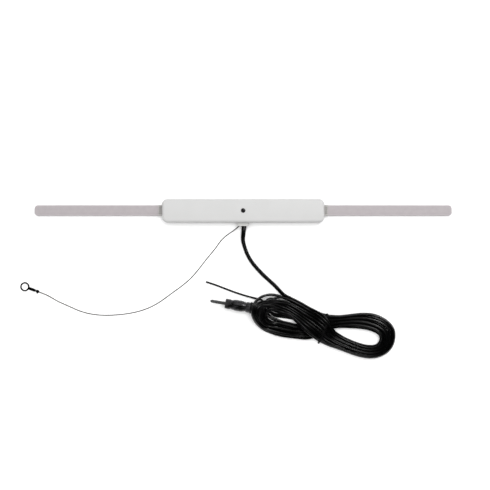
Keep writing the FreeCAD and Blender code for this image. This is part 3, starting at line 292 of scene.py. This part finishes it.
def sweep(rings, first=0):
    """A tube with closed ends over rings of equal length; first is its first vertex's number."""
    count = len(rings[0])
    vertices = [v for ring in rings for v in ring]
    faces = []
    for row in range(len(rings) - 1):
        for column in range(count):
            a = first + row * count + column
            b = first + row * count + (column + 1) % count
            faces.append((a, b, b + count, a + count))
    last = first + (len(rings) - 1) * count
    faces.append(tuple(first + c for c in reversed(range(count))))
    faces.append(tuple(last + c for c in range(count)))
    return vertices, faces


def circle_ring(place, side, up, radius, count):
    ring = []
    for step in range(count):
        angle = math.tau * step / count
        ring.append(place + side * radius * math.cos(angle) + up * radius * math.sin(angle))
    return ring


# ---------------------------------------------------------------- cords, in millimetres

COAX = 2.7
WIRE = 1.9
GROUND = 1.0
FLOOR_COAX = COAX / 2

COAX_FREE = [
    (-0.4, -15.0, 5.0), (-0.4, -18.8, 5.0), (-0.9, -23.6, 4.1), (-1.0, -29.4, 2.3),
    (0.9, -36.2, 1.35), (3.6, -43.6, 1.35), (7.9, -51.0, 1.35), (13.2, -57.4, 1.35),
    (19.3, -63.9, 1.35), (25.6, -69.6, 1.35), (31.4, -74.8, 1.35), (36.0, -79.9, 1.35),
    (40.4, -84.4, 1.4),
]
# The power wire lies on the cable's right shoulder.
WIRE_FREE = [
    (2.2, -15.0, 3.7), (2.0, -18.0, 4.0), (1.3, -23.4, 5.0), (0.6, -29.2, 4.0),
    (2.3, -35.7, 3.1), (4.9, -43.0, 3.1), (9.1, -50.2, 3.1), (14.3, -56.3, 3.1),
    (20.4, -62.8, 3.1), (26.6, -68.5, 3.1), (32.4, -73.7, 3.1), (37.0, -78.8, 3.2),
    (41.4, -83.4, 3.5),
]
# From the last crossing the cable runs straight to the back of the plug's boot, over the floor.
COAX_TO_BOOT = [
    (56.6, -107.4, 1.35), (50.2, -105.6, 1.4), (44.0, -104.6, 1.6), (38.2, -103.8, 2.6),
    (33.0, -103.0, 4.0), (28.2, -101.2, 5.3), (23.8, -99.3, 5.8), (19.4, -98.35, 5.8),
]
# The power wire keeps beside it, then turns away under the raised turns to its free end.
WIRE_TO_END = [
    (56.0, -109.4, 1.6), (50.0, -107.4, 0.8), (43.8, -106.4, 0.7), (38.0, -105.6, 0.8),
    (33.0, -105.0, 1.8), (28.8, -103.4, 3.0), (25.4, -97.4, 3.9), (20.2, -88.8, 1.8),
    (13.0, -87.1, 0.95), (3.2, -84.7, 0.95), (-7.6, -81.2, 0.95), (-17.8, -77.4, 0.95),
    (-27.2, -73.7, 0.95), (-37.0, -70.5, 0.95),
]
GROUND_ROUTE = [
    (-4.2, -15.0, 3.7), (-7.3, -17.6, 2.6), (-11.2, -20.4, 1.4), (-16.4, -23.9, 0.7),
    (-22.0, -28.8, 0.5), (-28.2, -37.8, 0.5), (-36.2, -47.2, 0.5), (-42.6, -55.6, 0.5),
    (-50.4, -65.2, 0.5), (-59.6, -73.6, 0.5), (-71.5, -82.0, 0.5), (-84.2, -91.6, 0.5),
    (-97.8, -98.3, 0.5), (-112.2, -101.9, 0.5), (-124.6, -103.4, 0.5), (-137.1, -104.0, 0.5),
    (-150.2, -103.1, 0.5), (-162.8, -99.9, 0.5), (-175.2, -94.2, 0.5), (-185.2, -89.9, 0.5),
    (-193.0, -85.2, 0.5), (-198.8, -82.4, 0.9), (-203.4, -80.7, 1.4), (-207.0, -79.4, 1.4),
]

# The hank is a figure of eight. Each station gives the line of the turn on the left-hand
# side of the bundle and of the one on the right-hand side, going round in winding order.
OVER = [
    ((47.4, -87.0), (44.2, -102.6)), ((57.2, -91.8), (52.3, -109.0)),
    ((66.0, -97.4), (59.5, -116.6)), ((75.4, -101.8), (68.0, -123.8)),
    ((83.2, -107.8), (77.0, -129.7)), ((88.4, -118.6), (86.0, -133.7)),
]
RIGHT = [
    ((97.5, -125.2), (95.5, -137.1)), ((107.5, -130.0), (106.0, -140.8)),
    ((117.0, -133.6), (117.0, -144.1)), ((125.5, -135.2), (128.0, -145.7)),
    ((132.6, -134.2), (138.8, -143.1)), ((136.9, -129.2), (147.2, -136.2)),
    ((136.7, -123.6), (150.6, -126.0)), ((132.2, -119.6), (149.6, -116.2)),
    ((124.5, -116.9), (142.4, -108.8)), ((115.0, -115.4), (131.4, -103.5)),
    ((104.5, -114.8), (118.5, -102.5)), ((94.5, -114.9), (106.0, -103.8)),
]
UNDER = [
    ((86.5, -116.2), (95.0, -104.9)), ((79.5, -120.2), (84.4, -104.2)),
    ((72.0, -124.4), (73.5, -106.0)), ((63.0, -126.7), (64.0, -108.6)),
    ((52.5, -125.7), (54.0, -112.2)),
]
LEFT_LOW = [((41.5, -124.5), (45.6, -111.7)), ((30.5, -122.1), (38.6, -110.0))]

# Round the left end the turns are loose: they climb over the boot, and some run under others.
STRAY = [
    (21.5, -118.8, 1.6), (14.6, -113.4, 4.0), (10.2, -107.2, 9.0), (8.6, -100.8, 13.2),
    (9.4, -94.4, 13.2), (12.7, -89.4, 10.0), (18.2, -85.1, 6.2), (26.0, -83.0, 3.6),
    (33.8, -83.9, 2.6), (40.4, -86.6, 3.0),
]
STRAY_WIRE = [
    (22.2, -118.0, 3.8), (15.0, -113.2, 6.2), (10.4, -107.2, 11.2), (8.7, -100.7, 15.3),
    (10.1, -94.6, 15.3), (14.7, -90.8, 12.8), (20.2, -89.8, 9.6), (25.8, -88.8, 8.0),
    (31.2, -86.5, 5.6), (40.0, -86.0, 5.0),
]
LOOSE = [
    STRAY,
    [
        (22.4, -117.0, 3.2), (16.2, -112.0, 5.6), (12.6, -106.6, 9.8), (11.3, -100.8, 13.2),
        (12.2, -94.4, 13.2), (16.6, -91.6, 9.8), (23.6, -90.4, 6.2), (31.6, -89.9, 4.1),
        (39.6, -90.6, 1.6),
    ],
    [
        (23.6, -115.4, 1.6), (17.8, -110.8, 5.0), (14.9, -105.8, 9.8), (14.0, -101.0, 13.1),
        (14.3, -96.4, 13.1), (18.0, -93.2, 10.8), (24.8, -92.2, 6.6), (32.4, -92.0, 3.6),
        (39.4, -92.8, 3.2),
    ],
    [
        (24.6, -113.6, 3.6), (19.4, -109.8, 6.6), (16.6, -105.2, 10.4), (16.2, -100.2, 12.9),
        (18.2, -95.8, 12.8), (22.8, -94.2, 12.0), (28.0, -95.4, 10.2), (33.6, -98.0, 7.6),
        (39.4, -99.8, 4.4),
    ],
    [
        (33.4, -107.9, 1.35), (28.4, -106.2, 1.35), (24.2, -102.4, 1.35), (21.8, -97.2, 1.35),
        (21.9, -92.2, 1.35), (24.8, -88.6, 1.35), (29.2, -88.0, 1.35), (33.6, -90.4, 1.35),
        (38.8, -94.2, 1.4),
    ],
    [
        (27.4, -112.9, 2.0), (22.2, -110.4, 4.6), (19.6, -105.6, 8.4), (19.5, -100.2, 10.7),
        (21.2, -96.0, 10.2), (25.6, -93.9, 8.8), (31.0, -94.2, 6.0), (38.4, -96.8, 3.4),
    ],
    [
        (32.2, -111.4, 3.2), (26.2, -110.0, 5.0), (22.4, -106.0, 8.0), (22.6, -100.8, 9.5),
        (27.0, -97.6, 8.8), (33.4, -99.9, 7.0), (38.4, -102.2, 5.6),
    ],
]
LANES = [0, 1, 2, 3, 6, 4, 5, 7]
TURNS = len(LANES)
# The lanes from this one on ride over the cable's own end at the first stations.
RIDING_LANE = 6
RIDE_OVER = [2.4, 2.4, 1.2]

# The group of strands under the crossing, the climb over it, and how far off the climb starts.
LOWER_GROUP = RIGHT[-3:] + UNDER
CLIMB = 5.0
CLIMB_START = 7
CLIMB_RUN = 8

# The unevenness of hand winding: waves of a size, by the turn and by the station.
WANDER = [(0.22, 2.1, 0.9), (0.14, 4.7, -1.7)]

# How much room a strand takes beside the next, and the most that every second one stands up.
STRAND_ROOM = COAX + 0.05
STACK_MOST = 2.3
# From this stacking on, the thin wire lies on top instead of in the groove.
STACKED_FULLY = 1.5
WIRE_SIDE = 0.6
WIRE_MOST = 3.2
# Along a loose turn the thin wire lies this far to the left of the cable and above it.
SHOULDER_SIDE = 1.3
SHOULDER_UP = 1.9


def smooth(value):
    """A step from 0 to 1 with soft ends."""
    value = min(1, max(0, value))
    return value * value * (3 - 2 * value)


def between(a, b, share):
    return a + (b - a) * share


def line_height(rail, x):
    """The Y at x of a rail of points in order of falling X, or None beyond its ends."""
    for (x0, y0), (x1, y1) in zip(rail, rail[1:]):
        if x1 <= x <= x0:
            return between(y0, y1, (x0 - x) / (x0 - x1))
    return None


def lift_over(x, y):
    """How far a strand of the upper group stands up at a place, to clear the group below it."""
    low = line_height([a for a, _ in LOWER_GROUP], x)
    high = line_height([b for _, b in LOWER_GROUP], x)
    if low is None or high is None:
        return 0
    inside = min(high - y, y - low)
    return CLIMB * smooth((inside + CLIMB_START) / CLIMB_RUN)


def wander(turn, station):
    """How far a strand strays sideways at a station."""
    return sum(size * math.sin(a * turn + b * station) for size, a, b in WANDER)


def lane(stations, index, number, count):
    """A strand's place at a station, the spacing of strands there, and the left-hand direction."""
    a, b = (Vector(p) for p in stations[index])
    before = Vector(stations[max(index - 1, 0)][0])
    after = Vector(stations[min(index + 1, len(stations) - 1)][0])
    ahead = (after - before).normalized()
    left = Vector((-ahead.y, ahead.x))
    place = between(a, b, number / count) + left * wander(number, index)
    return place, abs((b - a).dot(left)) / count, left


def stacking(spacing):
    """How far every second strand stands up where the bundle is too narrow for one layer."""
    return min(math.sqrt(max(0, STRAND_ROOM ** 2 - spacing ** 2)), STACK_MOST)


def wire_beside(number, spacing, left):
    """The thin wire's offset from its cable: in the groove, or on top where strands are stacked."""
    reach = (COAX + WIRE) / 2
    stacked = stacking(spacing)
    share = min(1, stacked / STACKED_FULLY)
    if number % 2 or number == 0:
        side = between(spacing / 2, WIRE_SIDE, share) if number else WIRE_SIDE
        return left * side, math.sqrt(reach ** 2 - side ** 2)
    side = spacing / 2 * (1 - share)
    valley = stacked + math.sqrt(max(0, reach ** 2 - spacing ** 2))
    return left * side, max(math.sqrt(reach ** 2 - side ** 2), min(valley, WIRE_MOST))


def wind():
    """The control points of the cable and of the wire, through the whole hank."""
    cable, wire = [], []
    for turn, number in enumerate(LANES):
        last = turn == TURNS - 1
        for group in (OVER, RIGHT, UNDER, LEFT_LOW):
            # The last turn leaves the hank before its left-hand end.
            count = TURNS - 2 if group is LEFT_LOW else TURNS - 1
            for index in range(len(group)):
                if last and (group is LEFT_LOW or (group is UNDER and index == len(group) - 1)):
                    continue
                place, spacing, left = lane(group, index, number, count)
                height = FLOOR_COAX + (stacking(spacing) if number % 2 else 0)
                if group is OVER:
                    height += lift_over(place.x, place.y)
                    if number >= RIDING_LANE and index < len(RIDE_OVER):
                        height += RIDE_OVER[index]
                side, up = wire_beside(number, spacing, left)
                cable.append((place.x, place.y, height))
                wire.append((place.x + side.x, place.y + side.y, height + up))
        if not last:
            cable += LOOSE[turn]
            wire += beside(LOOSE[turn]) if turn else STRAY_WIRE
    return cable, wire


def beside(points):
    """The thin wire's points along a loose turn: on its cable's left shoulder."""
    found = []
    for index, (x, y, height) in enumerate(points):
        before = points[max(index - 1, 0)]
        after = points[min(index + 1, len(points) - 1)]
        ahead = Vector((after[0] - before[0], after[1] - before[1])).normalized()
        across = (x - ahead.y * SHOULDER_SIDE, y + ahead.x * SHOULDER_SIDE)
        found.append((*across, height + SHOULDER_UP))
    return found


OUTER_STRANDS = 6
STRAND_RADIUS = GROUND / 6 * 1.06
STRAND_PITCH = 7.0
STRAND_SIDES = 7
GROUND_STEPS = 24


def ground_strands(path):
    """Six strands twisted round a seventh."""
    vertices, faces = [], []
    carried = frames(path)
    distances = [0.0]
    for a, b in zip(path, path[1:]):
        distances.append(distances[-1] + (b - a).length)
    for number in range(OUTER_STRANDS + 1):
        centres = []
        for (place, side, up), along in zip(carried, distances):
            angle = math.tau * (number / OUTER_STRANDS + along / STRAND_PITCH)
            offset = side * math.cos(angle) + up * math.sin(angle)
            outer = number < OUTER_STRANDS
            centres.append(place + offset * (GROUND / 2 - STRAND_RADIUS) if outer else place.copy())
        rings = [circle_ring(*parts, STRAND_RADIUS, STRAND_SIDES) for parts in frames(centres)]
        more, quads = sweep(rings, first=len(vertices))
        vertices += more
        faces += quads
    return vertices, faces


def add_cords(materials):
    hank_cable, hank_wire = wind()
    cable_points = COAX_FREE + hank_cable + COAX_TO_BOOT
    wire_points = WIRE_FREE + hank_wire + WIRE_TO_END
    coax = spline_piece("coax_cord", cable_points, COAX, materials["jacket"], "housing")
    power = spline_piece("power_cord", wire_points, WIRE, materials["thin_jacket"], "housing")
    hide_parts("coax_cable", "cable_hank")
    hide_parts("power_wire", "power_wire_end")
    length = path_length(points_along(cable_points)) * MM
    length = path_length(points_along(wire_points)) * MM
    path = points_along(GROUND_ROUTE, GROUND_STEPS)
    ground = mesh_piece("ground_cord", *ground_strands(path), materials["strand"], "housing")
    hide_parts("ground_wire")


# ---------------------------------------------------------------- necks, in millimetres

def box_faces(low, high, vertices, faces):
    """Adds a plain block to a piece that is shaped elsewhere."""
    first = len(vertices)
    for z in (low[2], high[2]):
        vertices += [(low[0], low[1], z), (high[0], low[1], z)]
        vertices += [(high[0], high[1], z), (low[0], high[1], z)]
    corners = [(3, 2, 1, 0), (4, 5, 6, 7), (0, 1, 5, 4), (1, 2, 6, 5), (2, 3, 7, 6), (3, 0, 4, 7)]
    faces += [tuple(first + c for c in face) for face in corners]


def topped_block(xs, ys, low, top):
    """A block whose upper face follows top(x, y)."""
    vertices = [(x, y, top(x, y)) for x in xs for y in ys] + [(x, y, low) for x in xs for y in ys]
    rows, columns = len(xs), len(ys)
    under = rows * columns
    faces = []
    for i in range(rows - 1):
        for j in range(columns - 1):
            a = i * columns + j
            quad = (a, a + columns, a + columns + 1, a + 1)
            faces += [quad, tuple(under + v for v in reversed(quad))]
    for i in range(rows - 1):
        for j, turn in ((0, 1), (columns - 1, -1)):
            a, b = i * columns + j, (i + 1) * columns + j
            faces.append((a, under + a, under + b, b)[::turn])
    for j in range(columns - 1):
        for i, turn in ((0, -1), (rows - 1, 1)):
            a, b = i * columns + j, i * columns + j + 1
            faces.append((a, under + a, under + b, b)[::turn])
    return vertices, faces


def spread(low, high, steps):
    """Evenly spaced values from low to high."""
    return [low + (high - low) * i / steps for i in range(steps + 1)]


HOUSING_END = 80.4
STRIP_START = 84.7

NECK_MIDDLE = 0.7
NECK_HALF = 5.4
NECK_BOTTOM = 1.0
NECK_TOP = 4.0
NECK_ROUNDING = 0.45
NECK_TUCK = 0.4
NECK_STEPS = (26, 110)
# What holds a neck inside the housing: X, Y and Z spans of its root and its flange.
NECK_BLOCKS = [
    ((78.2, HOUSING_END - 0.3), (-4.6, 6.0), (1.1, 3.9)),
    ((76.2, 78.3), (-5.8, 7.2), (2.65, 6.1)),
]

SLOTS = 4
SLOT_PITCH = 2.07
SLOT_MIDDLE = 82.55
SLOT_HALF_LENGTH = 1.3
SLOT_HALF_WIDTH = 0.62
SLOT_DEPTH = 0.95
SLOT_EDGE = 0.25

LEAD_YS = (-1.4, 2.8)
LEAD_RADIUS = 0.42
LEAD_SIDES = 10
LEAD_ROUTE = [
    (84.6, 2.5), (81.6, 2.5), (78.8, 2.6), (75.4, 4.4), (71.4, 7.0), (65.0, 7.5), (55.4, 7.4),
]


def neck_top(x, y):
    """The soft neck's upper face: rounded long edges and four moulded slots."""
    reach = min(y - NECK_MIDDLE + NECK_HALF, NECK_MIDDLE + NECK_HALF - y)
    inward = 1 - min(1, reach / NECK_ROUNDING)
    height = NECK_TOP - NECK_ROUNDING * (1 - math.sqrt(max(0, 1 - inward ** 2)))
    end = smooth((SLOT_HALF_LENGTH - abs(abs(x) - SLOT_MIDDLE)) / SLOT_EDGE)
    for number in range(SLOTS):
        across = abs(y - NECK_MIDDLE - (number - (SLOTS - 1) / 2) * SLOT_PITCH)
        height -= SLOT_DEPTH * end * smooth((SLOT_HALF_WIDTH - across) / SLOT_EDGE)
    return height


def add_neck(side, name, materials):
    """A flexible neck with its leads, between the housing and the strip."""
    xs = spread(side * (HOUSING_END - NECK_TUCK), side * STRIP_START, NECK_STEPS[0])
    ys = spread(NECK_MIDDLE - NECK_HALF, NECK_MIDDLE + NECK_HALF, NECK_STEPS[1])
    vertices, faces = topped_block(xs, ys, NECK_BOTTOM, neck_top)
    if side < 0:
        faces = [face[::-1] for face in faces]
    for along, (y0, y1), (z0, z1) in NECK_BLOCKS:
        x0, x1 = sorted(side * x for x in along)
        box_faces((x0, y0, z0), (x1, y1, z1), vertices, faces)
    neck = mesh_piece(
        f"{name}_flexible_neck", vertices, faces, materials["neck"], "housing", smooth=False,
    )
    leads = add_leads(side, name, materials)
    for piece, node in ((neck, f"{name}_neck"), (leads, f"{name}_lead")):
        piece.parent = None
        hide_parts(node)
        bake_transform(piece)


def add_leads(side, name, materials):
    """The two wires from the strip, through the neck, to the end of the board."""
    vertices, faces = [], []
    for y in LEAD_YS:
        path = points_along([(side * x, y, height) for x, height in LEAD_ROUTE])
        rings = [circle_ring(*parts, LEAD_RADIUS, LEAD_SIDES) for parts in frames(path)]
        more, quads = sweep(rings, first=len(vertices))
        vertices += more
        faces += quads
    return mesh_piece(f"{name}_flexible_leads", vertices, faces, materials["copper"], "housing")


# ---------------------------------------------------------------- tie, in millimetres

# The tie goes over the hank and back beneath it, and its two ends are twisted together.
TIE_LOOP = [
    (84.2, -103.2, 0.45), (84.3, -102.1, 1.4), (84.1, -102.4, 3.6), (83.7, -104.8, 5.5),
    (83.3, -108.2, 7.0), (82.6, -112.0, 8.4), (81.6, -116.0, 8.9), (80.2, -120.0, 8.8),
    (78.6, -124.0, 8.2), (76.8, -128.0, 6.8), (75.2, -131.0, 4.4), (74.6, -132.0, 1.8),
    (75.2, -131.0, 0.45), (77.5, -124.0, 0.4), (81.0, -113.0, 0.4), (84.2, -103.2, 0.45),
]
TIE_TAIL = [
    (84.4, -104.2, 5.0), (83.4, -103.1, 5.0), (81.2, -102.8, 4.4), (78.8, -102.3, 3.8),
    (76.4, -101.4, 3.4), (74.6, -100.3, 3.1),
]


# The direction across the loop's ribbon, and half of the ribbon's width and thickness in the loop
# and where its ends are twisted.
TIE_ACROSS = Vector((0.947, -0.32, 0))
LOOP_HALVES = (0.8, 0.36)
TAIL_HALVES = (0.95, 0.5)
TAIL_PITCH = 4.6
LOOP_STEPS = 6
TAIL_STEPS = 10


def tie_section(place, wide, thick):
    """A ribbon's cross-section: thin at its edges, thicker over the wire in its middle."""
    outline = [(-1, 0), (-0.9, 0.5), (-0.3, 0.55), (0, 1), (0.3, 0.55), (0.9, 0.5), (1, 0)]
    ring = [place + wide * x + thick * y for x, y in outline]
    ring += [place + wide * x - thick * y for x, y in outline[-2:0:-1]]
    return ring


def add_tie(materials):
    path = points_along(TIE_LOOP, LOOP_STEPS)
    rings = []
    for index, place in enumerate(path):
        ahead = (path[min(index + 1, len(path) - 1)] - path[max(index - 1, 0)]).normalized()
        thick = TIE_ACROSS.cross(ahead).normalized() * LOOP_HALVES[1]
        rings.append(tie_section(place, TIE_ACROSS * LOOP_HALVES[0], thick))
    vertices, faces = sweep(rings)
    tail = points_along(TIE_TAIL, TAIL_STEPS)
    rings = []
    travelled = 0
    for index, (place, side, up) in enumerate(frames(tail)):
        travelled += (place - tail[index - 1]).length if index else 0
        angle = math.tau * travelled / TAIL_PITCH
        wide = side * math.cos(angle) + up * math.sin(angle)
        thick = up * math.cos(angle) - side * math.sin(angle)
        rings.append(tie_section(place, wide * TAIL_HALVES[0], thick * TAIL_HALVES[1]))
    more, quads = sweep(rings, first=len(vertices))
    piece = mesh_piece("hank_tie", vertices + more, faces + quads, materials["tie"], "housing")
    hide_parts("twist_tie")


# ---------------------------------------------------------------- finishes


def dress_nodes(materials):
    """Every piece that keeps its modelled shape gets its own finish."""
    finishes = {
        "housing": ["front_cover"],
        # The rear cover's darker grey is painted shade on the housing's lower side.
        "rear_painted_shade": ["rear_cover"],
        "boss": ["cable_grommet"],
        "lens": ["led_lens"],
        "foam": ["housing_tape", "left_element_tape", "right_element_tape"],
        "strip": ["left_element_sleeve", "right_element_sleeve"],
        "copper": [
            "left_element_conductor", "right_element_conductor",
            "choke_winding", "stripped_wire_ends",
        ],
        "tinned": ["led_leads", "transistor_leads", "capacitor_leads", "resistor_leads"],
        "solder": ["solder_joints"],
        "screw": ["cover_screws", "board_screws"],
        "board": ["circuit_board"],
        "red": ["power_led"],
        "moulding": ["transistors"],
        "can": ["electrolytic_capacitors"],
        "tan": ["ceramic_capacitors"],
        "beige": ["resistors"],
        "ferrite": ["choke_core"],
        "jacket": ["coax_tail", "power_tail", "coax_plug_end"],
        "strand": ["ground_tail"],
        "terminal": ["ring_terminal"],
        "pin": ["plug_pin"],
        "shell": ["plug_shell"],
        "plug_core": ["plug_barrel", "plug_insulator"],
        "boot": ["plug_boot"],
    }
    for finish, names in finishes.items():
        for name in names:
            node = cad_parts[name]
            for slot in node.material_slots:
                slot.material = materials[finish]


def make_materials():
    return {
        "jacket": moulded(
            "cable_black", (0.0012, 0.0012, 0.0013), 0.3, (0.24, 0.36), 3000, 0.012, specular=0.6,
        ),
        "thin_jacket": moulded(
            "wire_black", (0.0012, 0.0012, 0.0013), 0.3, (0.24, 0.36), 3000, 0.01, specular=0.4,
        ),
        "strand": metal("ground_strand", (0.3, 0.285, 0.27), (0.35, 0.6), 900, 0.02),
        "neck": moulded(
            "neck_rubber", (0.36, 0.35, 0.34), 0.05, (0.55, 0.7), 2500, 0.02, specular=0.3,
        ),
        "copper": metal("copper", (0.72, 0.36, 0.22), (0.25, 0.45)),
        "tie": moulded(
            "tie_black", (0.003, 0.003, 0.0031), 0.3, (0.45, 0.6), 1800, 0.03, specular=0.2,
        ),
        "housing": moulded(
            "housing_grey", (0.455, 0.455, 0.452), 0.012, (0.42, 0.52), 4200, 0.012, specular=0.35,
        ),
        # The rear cover is a darker grey than the front cover. This is painted shade for the
        # housing's lower side wall, which shows as a dark line along its bottom edge.
        "rear_painted_shade": moulded(
            "rear_cover_grey_painted_shade", (0.26, 0.26, 0.26), 0.03, (0.45, 0.55), 4200, 0.012, specular=0.3,
        ),
        "boss": moulded(
            "boss_grey", (0.43, 0.43, 0.42), 0.02, (0.32, 0.42), 3000, 0.01, specular=0.5,
        ),
        "lens": moulded(
            "lens_smoke", (0.008, 0.007, 0.0075), 0.2, (0.3, 0.38), 900, 0.004, specular=0.5,
        ),
        "foam": moulded(
            "foam_tape", (0.55, 0.55, 0.56), 0.15, (0.75, 0.95), 1400, 0.12, 900, specular=0.2,
        ),
        "strip": moulded(
            "strip_plastic", (0.34, 0.313, 0.323), 0.03, (0.38, 0.5), 2600, 0.015, 240,
            specular=0.35,
        ),
        "tinned": metal("tinned", (0.62, 0.62, 0.6), (0.25, 0.45)),
        "solder": metal("solder", (0.55, 0.56, 0.57), (0.2, 0.4), 900, 0.03),
        "screw": metal("zinc_screw", (0.5, 0.5, 0.48), (0.25, 0.45)),
        "board": moulded("board_laminate", (0.05, 0.16, 0.06), 0.35, (0.3, 0.45), 1800, 0.03, 400),
        "red": moulded("led_red", (0.45, 0.02, 0.02), 0.1, (0.12, 0.2), 900, 0.005),
        "moulding": moulded(
            "transistor_black", (0.015, 0.015, 0.015), 0.3, (0.5, 0.65), 2500, 0.03,
        ),
        "can": moulded("capacitor_sleeve", (0.02, 0.03, 0.09), 0.2, (0.25, 0.4), 1200, 0.01),
        "tan": moulded("ceramic_tan", (0.42, 0.23, 0.08), 0.2, (0.35, 0.5), 900, 0.04),
        "beige": moulded("resistor_beige", (0.52, 0.41, 0.24), 0.2, (0.35, 0.5), 900, 0.02),
        "ferrite": moulded("ferrite", (0.03, 0.03, 0.032), 0.3, (0.6, 0.8), 1800, 0.05),
        "terminal": metal("terminal_dark", (0.016, 0.016, 0.017), (0.3, 0.55), 700, 0.03),
        "pin": metal("pin_nickel", (0.1, 0.1, 0.1), (0.16, 0.34), 900, 0.02, dull=0.5),
        "shell": metal(
            "shell_nickel", (0.05, 0.048, 0.052), (0.2, 0.5), 600, 0.05, (0.006, 0.006, 0.006), 0.4,
        ),
        "plug_core": moulded(
            "plug_core", (0.003, 0.003, 0.003), 0.3, (0.4, 0.6), 1500, 0.05, specular=0.2,
        ),
        "boot": moulded(
            "boot_rubber", (0.0022, 0.0022, 0.0022), 0.3, (0.5, 0.7), 2200, 0.03, specular=0.2,
        ),
    }


materials = make_materials()
add_camera()
add_cords(materials)
add_studio()
add_tie(materials)
add_neck(-1, "left", materials)
add_neck(1, "right", materials)
dress_nodes(materials)
